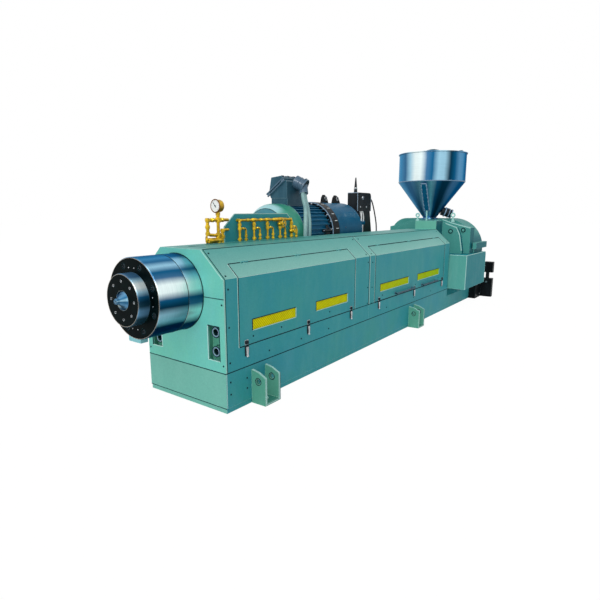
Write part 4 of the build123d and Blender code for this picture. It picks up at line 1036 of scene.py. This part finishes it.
# Clevises
def clevis_dress():
    """Dark rings round the clevis eyes, pale lines painted as highlights on the plate edges, a dark line
    painted as shade down each far end, and a bolt on each bottom plate.
    """
    bushes, pale, dark = shapes(3)
    half = CLEVIS_PLATE / 2
    width = CLEVIS_PLATE * 0.65
    eye_y, eye_z = CLEVIS_EYE
    for side in (-1, 1):
        reach = side * CLEVIS_REACH
        for start in CLEVIS_STARTS:
            end = start + CLEVIS_WIDTH
            for middle in (start + half, end - half):
                corner = (middle, reach, CLEVIS_CORNER)
                crown = (middle, side * CLEVIS_CROWN_Y, CLEVIS_TOP)
                # Pale lines painted as highlights along the plate edges
                pale.line((0, side, 0), width, (middle, reach, 0.004), corner)
                pale.line((0, side * 0.6, 1), width, corner, crown)
                pale.line(UP, width, crown, (middle, side * (0.004 - SIDE_Y), CLEVIS_BACK))
                for way in (-1, 1):
                    face = middle + way * (half + 0.0005)
                    dark.hoop((face, side * eye_y, eye_z), FRONT_WAY, 0.0315, 0.0035)
            centre = Vector(((start + end) / 2, side * eye_y, CLEVIS_PLATE))
            bushes.plug(centre, UP, 0.022, 0.017, 0.005)
            bushes.screw(centre + Vector((0, 0, 0.017)), UP, 0.011, 0.011, 14)
            # A pale line painted as a highlight along the bottom plate's edge, and a dark line painted as
            # shade down the far end
            y, z = side * (CLEVIS_REACH - 0.001), CLEVIS_PLATE * 0.6
            pale.line((0, side, 0.3), 0.014, (start + CLEVIS_PLATE, y, z), (end - CLEVIS_PLATE, y, z))
            dark.line((1, side, 0), 0.007, (end, reach, 0.004), (end, reach, CLEVIS_CORNER))
    bushes.piece("clevis_bushes", PALE_AND_HIGHLIGHT)
    pale.piece("clevis_highlights", PALE_AND_HIGHLIGHT)
    dark.piece("clevis_shades", SEAM_AND_SHADE)


# Brass piping
def cooling_manifold():
    """The header with its five legs, elbowed branches, tees, nuts and two taps."""
    shape = Shape()
    first, last = HEADER_LEGS[0], HEADER_LEGS[-1]
    route = [piped(first, ROOF_Z), piped(first, HEADER_Z), piped(last, HEADER_Z), piped(last, ROOF_Z)]
    shape.swept(route, PIPE_RADIUS * 0.78, 0.03)
    for station in HEADER_LEGS:
        if first < station < last:
            shape.bar(piped(station, ROOF_Z), piped(station, HEADER_Z), PIPE_RADIUS * 0.65, 0.0, 18)
            shape.fitting(piped(station, HEADER_Z), ALONG, 0.044, 0.023)
        branch = station + BRANCH_REACH
        shape.swept([piped(station, BRANCH_Z), piped(branch, BRANCH_Z), piped(branch, ROOF_Z)], 0.0105, 0.028)
        shape.fitting(piped(station + BRANCH_REACH * 0.55, BRANCH_Z), ALONG, 0.016, 0.016)
        for place, z, length, radius in (
            (station, HEADER_Z - 0.045, 0.022, 0.021),
            (station, BRANCH_Z, 0.030, 0.021),
            (station, ROOF_Z + 0.022, 0.018, 0.024),
            (branch, ROOF_Z + 0.055, 0.020, 0.017),
            (branch, ROOF_Z + 0.016, 0.014, 0.020),
        ):
            shape.fitting(piped(place, z), UP, length, radius)
    for station in (1.1, 1.31, 1.53, 1.75):
        shape.fitting(piped(station, HEADER_Z), ALONG, 0.026, 0.020)
    tapped = HEADER_LEGS[3]
    for station, z in ((tapped, 1.545), (last, 1.46)):
        shape.tap(piped(station, z), (0, -1, 0.2), 0.06)
    shape.fitting(piped(tapped, HEADER_Z), ALONG, 0.11, 0.026)
    for station in (first, last):
        shape.bar(piped(station, HEADER_Z), (station, MANIFOLD_Y, HEADER_Z), PIPE_RADIUS, 0.0, 16)
    shape.piece("cooling_manifold", BRASS, "machine", ["brass_manifold"])


def gauge_pipes():
    """The gauge's stem on its small header, with a bent leg, a barrel and a handwheel."""
    shape = Shape()
    right = MANIFOLD_START + 0.02
    left = 0.527
    small = 0.724
    small_z = 1.508
    barrel_z = 1.408
    thick = PIPE_RADIUS * 0.95
    thin = 0.014
    leg = [piped(right, GAUGE_HEADER_Z), piped(left, GAUGE_HEADER_Z), piped(left, 1.465)]
    shape.swept(leg + [piped(GAUGE_STATION, 1.455)], thick, 0.04)
    shape.bar(piped(GAUGE_STATION, ROOF_Z), piped(GAUGE_STATION, 1.69), thick, 0.0, 18)
    shape.swept([piped(right, small_z), piped(small, small_z), piped(small, ROOF_Z)], thin, 0.03)
    for z, size in ((GAUGE_HEADER_Z, 0.032), (1.665, 0.024), (1.455, 0.032), (ROOF_Z + 0.02, 0.028)):
        shape.fitting(piped(GAUGE_STATION, z), UP, 0.03, size)
    for station, z in ((left, GAUGE_HEADER_Z), (left, 1.54), (left, 1.475), (small, 1.44), (small, 1.5)):
        shape.fitting(piped(station, z), UP, 0.024, 0.025)
    for station in (0.59, 0.72):
        shape.fitting(piped(station, GAUGE_HEADER_Z), ALONG, 0.024, 0.024)
    shape.bar(piped(0.53, barrel_z), piped(0.70, barrel_z), 0.027, 0.005, 20)
    for station in (0.56, 0.66):
        shape.fitting(piped(station, barrel_z), ALONG, 0.02, 0.031)
    shape.hoop(piped(0.51, 1.42), (1, -0.6, 0), 0.034, 0.007, 24)
    shape.bar(piped(0.50, 1.42), piped(0.54, 1.415), 0.010, 0.002, 12)
    for z, radius in ((GAUGE_HEADER_Z, thick), (small_z, thin)):
        shape.bar(piped(right, z), (right, MANIFOLD_Y, z), radius, 0.0, 16)
    shape.piece("gauge_pipes", BRASS, "machine", ["gauge_piping"])


def gauge():
    """A round pressure gauge: case, rim, white dial with ticks and a needle."""
    face = GAUGE_STATION - GAUGE_DEPTH / 2
    back = GAUGE_STATION + GAUGE_DEPTH / 2
    inner = GAUGE_RADIUS - 0.006
    case, rim, dial, marks = shapes(4)
    sides = [(0, 0.040), (0.06, 0.058), (0.25, inner), (1, inner)]
    case.turned(piped(back, GAUGE_Z), piped(face + 0.006, GAUGE_Z), sides, 48)
    case.piece("gauge_case", BRASS, "machine", ["pressure_gauge"])
    rim.hoop(piped(face + 0.008, GAUGE_Z), FRONT_WAY, inner, 0.006, 64)
    rim.piece("gauge_rim", BRONZE)
    dial.turned(piped(face + 0.012, GAUGE_Z), piped(face + 0.004, GAUGE_Z), [(0, 0.058), (1, 0.056)], 48)
    dial.piece("gauge_dial", DIAL)
    centre = Vector(piped(face + 0.004, GAUGE_Z))
    for number in range(11):
        angle = math.radians(225 - 27 * number)
        marks.line(FRONT_WAY, 0.0022, *(round_about(centre, angle, radius) for radius in (0.047, 0.053)))
    tail, point = Vector((0, 0.012, 0.014)), Vector((0, 0.026, 0.034))
    marks.line(FRONT_WAY, 0.005, centre - tail, centre + point, proud=0.003)
    marks.turned(centre, centre - Vector((0.004, 0, 0)), [(0, 0.008), (1, 0.006)], 16)
    marks.piece("gauge_marks", BLACK)


# Motor
RING_BOLTS = 24


def motor_centre(station):
    """A point on the motor's axis."""
    return Vector((station, MOTOR_Y, MOTOR_Z))


def motor_dress():
    """Bolts round the ring, pale hoops painted as highlights on the edges, fan cover lines and lug eyes."""
    bolts, edge, shine, eyes = shapes(4)
    bar_middle = (RING_START + RING_END) / 2 + 0.03
    for number in range(RING_BOLTS):
        angle = 2 * math.pi * (number + 0.5) / RING_BOLTS
        start, end = [
            round_about(motor_centre(bar_middle + offset), angle, RING_RADIUS - 0.006)
            for offset in (-0.036, 0.030)
        ]
        bolts.bar(start, end, 0.009, 0.003, 10)
        bolts.plug(round_about(motor_centre(RING_START), angle, 0.404), FRONT_WAY, 0.013, 0.016, 0.003)
    bolts.piece("motor_ring_bolts", CHROME)
    # Pale hoops painted as highlights on the ring's front edge and the body's edge
    edge.hoop(motor_centre(RING_START + 0.003), FRONT_WAY, RING_RADIUS - 0.008, 0.007, 96)
    edge.hoop(motor_centre(2.312), FRONT_WAY, 0.3885, 0.003, 96)
    edge.piece("motor_edge_highlights", LILAC)
    shine.hoop(motor_centre(DOME_DISC_STATION), FRONT_WAY, DOME_DISC, 0.004, 96)
    shine.hoop(motor_centre(1.962), FRONT_WAY, 0.12, 0.004, 64)
    shine.piece("dome_rings", SEAM_AND_SHADE)
    for start, end in ((3.268, 3.462), (3.572, 3.806)):
        for y in (MOTOR_Y - 0.0215, MOTOR_Y + 0.0215):
            eyes.hoop(((start + end) / 2, y, 1.878), SIDE_WAY, 0.026, 0.006, 28)
    eyes.piece("lug_eyes", CHROME)


def motor_fittings():
    """Grease pipes, a blue cap and clamps between the motor and the switch unit."""
    black, bright, blue = shapes(3)
    y, z = 0.36, ROOF_Z + 0.045
    for station, size in ((2.86, 0.03), (3.06, 0.036), (3.30, 0.03)):
        black.bar((station - 0.09, y, z), (station + 0.09, y, z), size, 0.006, 20)
        neck = [(0, size), (0.5, size * 0.8), (1, size * 0.5)]
        black.turned((station, y, z), (station, y, ROOF_Z + 0.125), neck, 16)
        black.brick((station - 0.05, y - 0.02, 1.25), (station + 0.05, y + 0.05, ROOF_Z + 0.03), 0.006)
        bright.screw((station - 0.092, y, z), FRONT_WAY, 0.02, 0.008, 14)
        bright.ball((station + 0.01, y - 0.03, ROOF_Z + 0.08), 0.010)
    cap = [(0, 0.085), (0.75, 0.09), (0.9, 0.085), (1, 0.06)]
    blue.turned((4.15, 0.66, 1.50), (4.02, 0.655, 1.50), cap, 40)
    blue.bar((4.15, 0.66, 1.50), (4.40, 0.66, 1.50), 0.06, 0.004, 28)
    bright.hoop((4.03, 0.655, 1.50), FRONT_WAY, 0.088, 0.006, 40)
    union = (3.62, y, 1.42)
    route = [union, (3.75, 0.42, 1.44), (3.85, 0.52, 1.50), (4.02, 0.60, 1.56), (4.12, 0.64, 1.62)]
    bright.swept(route, 0.018, 0.04)
    for centre in ((3.66, 0.375, 1.426), (3.80, 0.46, 1.465), (3.95, 0.57, 1.53)):
        bright.fitting(centre, (0.8, 0.5, 0.3), 0.035, 0.032)
    black.swept([(3.2, 0.37, 1.40), (3.45, 0.35, 1.42), union], 0.02, 0.04)
    black.piece("grease_fittings", BLACK)
    bright.piece("grease_pipes", DARK_STEEL)
    blue.piece("coupling_cap", BLUE)


ROD_TOP = Vector((2.244, 0.634, 2.100))
ROD_FOOT = Vector((2.244, 0.915, 1.896))
GLAND_FOOT = Vector((2.462, 0.610, 2.077))
GLAND_END = Vector((2.505, 0.478, 2.007))


def terminal_dress():
    """Clamps, a handle and rods on the terminal box's lid, the gland's collars, and a black disc painted as
    shade in its mouth.
    """
    shape, rods, pale, collar, mouth = shapes(5)
    for station in (2.30, 2.42, 2.54, 2.62):
        foot = Vector((station, 0.655, 2.112))
        shape.swept([foot, foot + Vector((0, 0.02, 0.028)), foot + Vector((0, 0.06, 0.034))], 0.008, 0.01, 10)
        shape.ball(foot + Vector((0, 0, 0.004)), 0.014)
    handle = [(2.36, 0.70, 2.135), (2.40, 0.71, 2.142), (2.52, 0.71, 2.142), (2.56, 0.70, 2.132)]
    shape.swept(handle, 0.007, 0.02, 10)
    shape.piece("terminal_clamps", DARK_STEEL)
    apart = Vector((0, 0.020, 0.0275))
    for share in (-0.5, 0.5):
        rods.bar(ROD_TOP + apart * share, ROD_FOOT + apart * share, 0.011, 0.003, 14)
    half = Vector((0.006, 0.02, 0.02))
    for share in (0.08, 0.92):
        middle = ROD_TOP.lerp(ROD_FOOT, share) + Vector((0.004, 0, 0))
        rods.brick(middle - half, middle + half, 0.003)
    rods.piece("terminal_rods", GLAND)
    pale.line((-0.3, -1, 0), 0.006, (2.264, 0.602, 1.862), (2.632, 0.602, 1.862))
    pale.piece("terminal_lines", GLAND)
    way = GLAND_END - GLAND_FOOT
    for share, radius, width in ((0.80, 0.0985, 0.006), (0.99, 0.0955, 0.005), (0.45, 0.0865, 0.005)):
        collar.hoop(GLAND_FOOT + way * share, way, radius, width, 48)
    collar.piece("gland_rings", GLAND)
    # A black disc painted as the shade inside the gland's mouth
    mouth.turned(GLAND_FOOT + way * 0.985, GLAND_FOOT + way * 1.01, [(0, 0.088), (1, 0.086)], 48)
    mouth.piece("gland_mouth_shade", BLACK)


def switch_dress():
    """The spindle's collar, marks and screws on the switch unit, pale lines painted as highlights along its
    edges, and the wires below it.
    """
    bright, pale, wires = shapes(3)
    for z, radius in ((2.040, 0.027), (2.056, 0.024)):
        collar = [(0, radius), (0.5, radius + 0.004), (1, radius)]
        bright.turned((4.165, 0.665, z), (4.165, 0.665, z + 0.014), collar, 20)
    stud = [(0, 0.03), (1, 0.026)]
    bright.turned((4.30, SWITCH_NEAR_Y, 1.905), (4.30, SWITCH_NEAR_Y - 0.006, 1.905), stud, 24)
    for station in (4.22, 4.42):
        bright.screw((station, SWITCH_NEAR_Y, 1.76), SIDE_WAY, 0.014, 0.006)
    bright.piece("switch_marks", CHROME)
    # Pale lines painted as highlights along the switch unit's edges
    pale.line(SIDE_WAY, 0.008, (4.578, 0.5995, 1.70), (4.578, 0.5995, 1.925))
    pale.line(FRONT_WAY, 0.008, (4.1295, 0.602, 1.70), (4.1295, 0.602, 1.985))
    pale.line(FRONT_WAY, 0.008, (4.1295, 0.604, 1.987), (4.1295, 0.788, 1.987))
    pale.piece("switch_edge_highlights", LILAC)
    for offset, sway in ((0.0, 0.03), (0.05, -0.02), (0.09, 0.015)):
        top = Vector((4.26 + offset, 0.625, 1.692))
        drops = [(0, 0, 0), (sway, -0.015, -0.12), (-sway, -0.01, -0.24), (0.01, 0.0, -0.40)]
        wires.swept([top + Vector(drop) for drop in drops], 0.008, 0.05, 10)
    wires.piece("switch_wires", DIAL)


# Hopper
FEEDER_SHARE = 0.2
FEEDER_TURN = math.radians(-60)
FEEDER_TILT = math.radians(18)
FEEDER_LENGTH = 0.19
FEEDER_RADIUS = 0.076
BLOCK_TOP = 1.523
LIFTING_EYES = ((5.98, -0.345, 1.495, 1.622, 0.032), (5.47, 0.12, BLOCK_TOP - 0.003, 1.622, 0.028))
SIGHT_TURN = math.radians(-172)


def over_hopper(z, reach=0.0, angle=0.0):
    """A point round the hopper's axis."""
    return Vector((HOPPER_X + reach * math.cos(angle), AXIS_Y + reach * math.sin(angle), z))


def hopper_dress():
    """The rim with its handles, the lower bead and the knob."""
    rim, bead, knob = shapes(3)
    rim.hoop(over_hopper(HOPPER_TOP + 0.004), UP, HOPPER_RADIUS + 0.006, 0.008, 96)
    bead.hoop(over_hopper(CONE_HIGH + 0.006), UP, HOPPER_RADIUS - 0.002, 0.008, 96)
    bead.piece("hopper_bead", LILAC)
    for degrees in (200, 262, 300, 20):
        foot = over_hopper(HOPPER_TOP + 0.010, HOPPER_RADIUS - 0.05, math.radians(degrees))
        rim.brick(foot - Vector((0.03, 0.03, 0.0)), foot + Vector((0.03, 0.03, 0.028)), 0.006)
    rim.piece("hopper_rim", SLATE)
    crown = [(0, 0.12), (0.4, 0.11), (0.8, 0.07), (1, 0.02)]
    knob.turned(over_hopper(HOPPER_TOP + 0.075), over_hopper(HOPPER_TOP + 0.101), crown, 40)
    knob.piece("hopper_knob", SLATE)


def cone_place(share, angle, out=0.0):
    """A point on the hopper's cone by its height share and its turn about the axis."""
    reach = CONE_FOOT_RADIUS + share * (HOPPER_RADIUS - CONE_FOOT_RADIUS) + out
    return over_hopper(CONE_LOW + share * (CONE_HIGH - CONE_LOW), reach, angle)


def sight_frame():
    """A pale frame with bolts round the sight strip, and the rod below it."""
    edge, rod = shapes(2)
    side = Vector((-math.sin(SIGHT_TURN), math.cos(SIGHT_TURN), 0)) * 0.044
    low = cone_place(0.205, SIGHT_TURN, 0.024)
    high = cone_place(0.925, SIGHT_TURN, 0.024)
    edge.swept([low - side, low + side, high + side, high - side, low - side], 0.009, 0.012, 10)
    for number in range(7):
        centre = low.lerp(high, (number + 0.5) / 7)
        for way in (-1, 1):
            edge.ball(centre + side * way, 0.015, 6)
    edge.piece("sight_frame", LILAC)
    foot = Vector((low.x, low.y, BLOCK_TOP + 0.01))
    rod.bar(low, foot, 0.012, 0.002, 12)
    rod.ball(foot, 0.018)
    rod.piece("sight_rod", PALE_AND_HIGHLIGHT)


def feeder_dress():
    """Bands, a plug and cooling ribs on the feeder motor, and two lifting eyes on the gearbox."""
    bands, eye = shapes(2)
    start = cone_place(FEEDER_SHARE, FEEDER_TURN)
    level = math.cos(FEEDER_TILT)
    way = Vector((math.cos(FEEDER_TURN) * level, math.sin(FEEDER_TURN) * level, -math.sin(FEEDER_TILT)))
    for share, width in ((0.34, 0.012), (0.72, 0.009), (0.98, 0.010)):
        bands.hoop(start + way * FEEDER_LENGTH * share, way, FEEDER_RADIUS + 0.002, width, 40)
    end = start + way * FEEDER_LENGTH
    bands.turned(end, end + way * 0.008, [(0, 0.03), (1, 0.026)], 28)
    side = way.cross(Vector(UP)).normalized()
    top = side.cross(way).normalized()
    for degrees in (25, 60, 95):
        out = side * -math.cos(math.radians(degrees)) + top * math.sin(math.radians(degrees))
        rib = start + out * (FEEDER_RADIUS + 0.001)
        bands.bar(rib + way * FEEDER_LENGTH * 0.40, rib + way * FEEDER_LENGTH * 0.66, 0.009, 0.002, 10)
    bands.piece("feeder_bands", LILAC)
    for station, y, seat, z, radius in LIFTING_EYES:
        eye.hoop((station, y, z), (0.9, 0.4, 0), radius, 0.013, 24)
        stem = [(0, 0.034), (0.3, 0.034), (0.4, 0.018), (1, 0.014)]
        eye.turned((station, y, seat), (station, y, z - radius), stem, 16)
    eye.piece("lifting_eyes", PALE_AND_HIGHLIGHT)


# Feed section and gearbox
WAIST_Z = 0.95
CASTING_EDGES = (
    (5.75, 0.608, 0.576, ((1.0, 0.0862), (0.9186, 0.569), (0.8192, 0.7914), (0.4837, 0.9138))),
    (5.85, 0.71, 0.591, ((1.0, 0.7597), (0.5594, 0.8874), (0.2895, 1.0))),
)
SIDE_BOX_Y = -0.8
MANIFOLD_EDGE = (
    (MANIFOLD_START, ROOF_Z), (MANIFOLD_START, 1.535), (0.938, 1.664), (1.82, 1.664), (1.935, 1.56),
)


def gearbox_dress():
    """Bosses with plugs, pale lines painted as highlights on the side box's edges and the flanges' outlines,
    and a seam at the housing's end.
    """
    dark, bright, pale, seam = shapes(4)
    for station, y, z in ((5.736, -0.399, 1.338), (5.836, -0.590, 1.360)):
        dark.hoop((station, y, z), FRONT_WAY, 0.034, 0.008, 32)
        plug = [(0, 0.022), (0.6, 0.022), (1, 0.017)]
        bright.turned((station - 0.001, y, z), (station - 0.012, y, z), plug, 6)
    dark.piece("boss_rings", SEAM_AND_SHADE)
    bright.piece("boss_plugs", BOX)
    y = SIDE_BOX_Y
    # Pale lines painted as highlights along the side box's edges and the flanges' outlines
    pale.line((-1, 0, 1), 0.010, (5.448, y, 0.945), (5.448, SIDE_Y, 0.945))
    pale.line((-1, -1, 0), 0.009, (5.45, y, 0.36), (5.45, y, 0.94))
    pale.line((0, -1, 1), 0.010, (5.45, y, 0.945), (6.59, y, 0.945))
    pale.line((1, -1, 0), 0.008, (6.62, y, 0.36), (6.62, y, 0.915))
    for station, half, rise, shares in CASTING_EDGES:
        pale.line(FRONT_WAY, 0.014, *((station, -half * out, WAIST_Z + rise * up) for out, up in shares))
    pale.piece("side_box_highlights", PALE_AND_HIGHLIGHT)
    girdle(seam, HOUSING_END, BASE_TOP - 0.13, 0.009, SEAM_WIDTH, side_way=(0.3, -1, 0))
    seam.piece("housing_end_seam", SEAM_AND_SHADE)


def pump_dress():
    """Bolts and a filler cap on the oil pump."""
    shape = Shape()
    for station in (6.74, 6.98):
        for z in (0.06, 0.27):
            shape.screw((station, -0.641, z), SIDE_WAY, 0.012, 0.008)
    shape.turned((7.05, -0.74, 0.30), (7.04, -0.74, 0.30), [(0, 0.022), (1, 0.018)], 20)
    shape.piece("pump_bolts", CHROME)


def roof_dress():
    """The manifold plate's edges with pale lines painted as highlights, and the low strip beside it."""
    pale, dark = shapes(2)
    # Pale lines painted as highlights along the manifold plate's edges
    pale.line(SIDE_WAY, 0.007, *((station, MANIFOLD_Y - 0.0005, z) for station, z in MANIFOLD_EDGE))
    pale.piece("manifold_highlights", PALE_AND_HIGHLIGHT)
    dark.line(UP, 0.012, (0.2, 0.12, ROOF_Z), (2.3, 0.12, ROOF_Z))
    dark.line(UP, 0.012, (0.2, -0.1, ROOF_Z), (0.2, 0.12, ROOF_Z))
    dark.piece("roof_seams", SEAM_AND_SHADE)


panel_seams()
for cover_name in COVERS:
    cover_seams(cover_name)
    cover_dress(cover_name)
    latch_hooks(cover_name)
screw_heads()
latch_handles()
grips()
head_bolts()
screw_tip()
port_trims()
clevis_dress()
cooling_manifold()
gauge_pipes()
gauge()
motor_dress()
motor_fittings()
terminal_dress()
switch_dress()
hopper_dress()
sight_frame()
feeder_dress()
gearbox_dress()
pump_dress()
roof_dress()

# Studio: white all round, brighter for what the camera and mirrors see
WORLD_FILL = 0.40
FLOOR_RADIUS = 60.0
FLOOR_GLOW = 1.02
GLOW_SHARE = 0.95
WHITE = (1, 1, 1, 1)
world = bpy.data.worlds.new("studio")
bpy.context.scene.world = world
world.use_nodes = True
sky = Tree(world.node_tree)
ray = sky.add("ShaderNodeLightPath").outputs
seen = sky.math("MAXIMUM", ray["Is Camera Ray"], ray["Is Glossy Ray"])
seen = sky.math("MAXIMUM", seen, ray["Is Transmission Ray"])
background = sky.nodes["Background"].inputs
background["Color"].default_value = WHITE
sky.feed(background["Strength"], sky.spread(seen, 0.0, 1.0, WORLD_FILL, 1.0))


def sun(name, toward, strength, angle, shadows=True):
    """A sun lamp, placed by the direction that it shines from."""
    data = bpy.data.lights.new(name, "SUN")
    data.energy = strength
    data.angle = math.radians(angle)
    data.use_shadow = shadows
    lamp = bpy.data.objects.new(name, data)
    lamp.rotation_euler = Vector(toward).to_track_quat("Z", "Y").to_euler()
    lamp.location = Vector(toward) * 8
    bpy.context.scene.collection.objects.link(lamp)


sun("key", (-0.6, -0.3, 0.75), 0.55, 40)
sun("front_fill", (-0.86, -0.12, 0.5), 1.45, 10, shadows=False)

floor_mesh = bpy.data.meshes.new("floor")
floor_shape = bmesh.new()
bmesh.ops.create_circle(floor_shape, cap_ends=True, segments=96, radius=FLOOR_RADIUS)
floor_shape.to_mesh(floor_mesh)
floor_shape.free()
floor = bpy.data.objects.new("floor", floor_mesh)
bpy.context.scene.collection.objects.link(floor)
ground = Shader("floor_pale")
matte = ground.add("ShaderNodeBsdfDiffuse", {"Color": (0.93, 0.93, 0.93, 1.0)})
glow = ground.add("ShaderNodeEmission", {"Color": WHITE, "Strength": FLOOR_GLOW})
bright_share = ground.times(ground.add("ShaderNodeLightPath").outputs["Is Camera Ray"], GLOW_SHARE)
blend = ground.add("ShaderNodeMixShader", {0: bright_share, 1: matte.outputs[0], 2: glow.outputs[0]})
ground.feed(ground.nodes["Material Output"].inputs["Surface"], blend.outputs[0])
floor_mesh.materials.append(ground.material)

bpy.context.scene.view_settings.view_transform = "Standard"
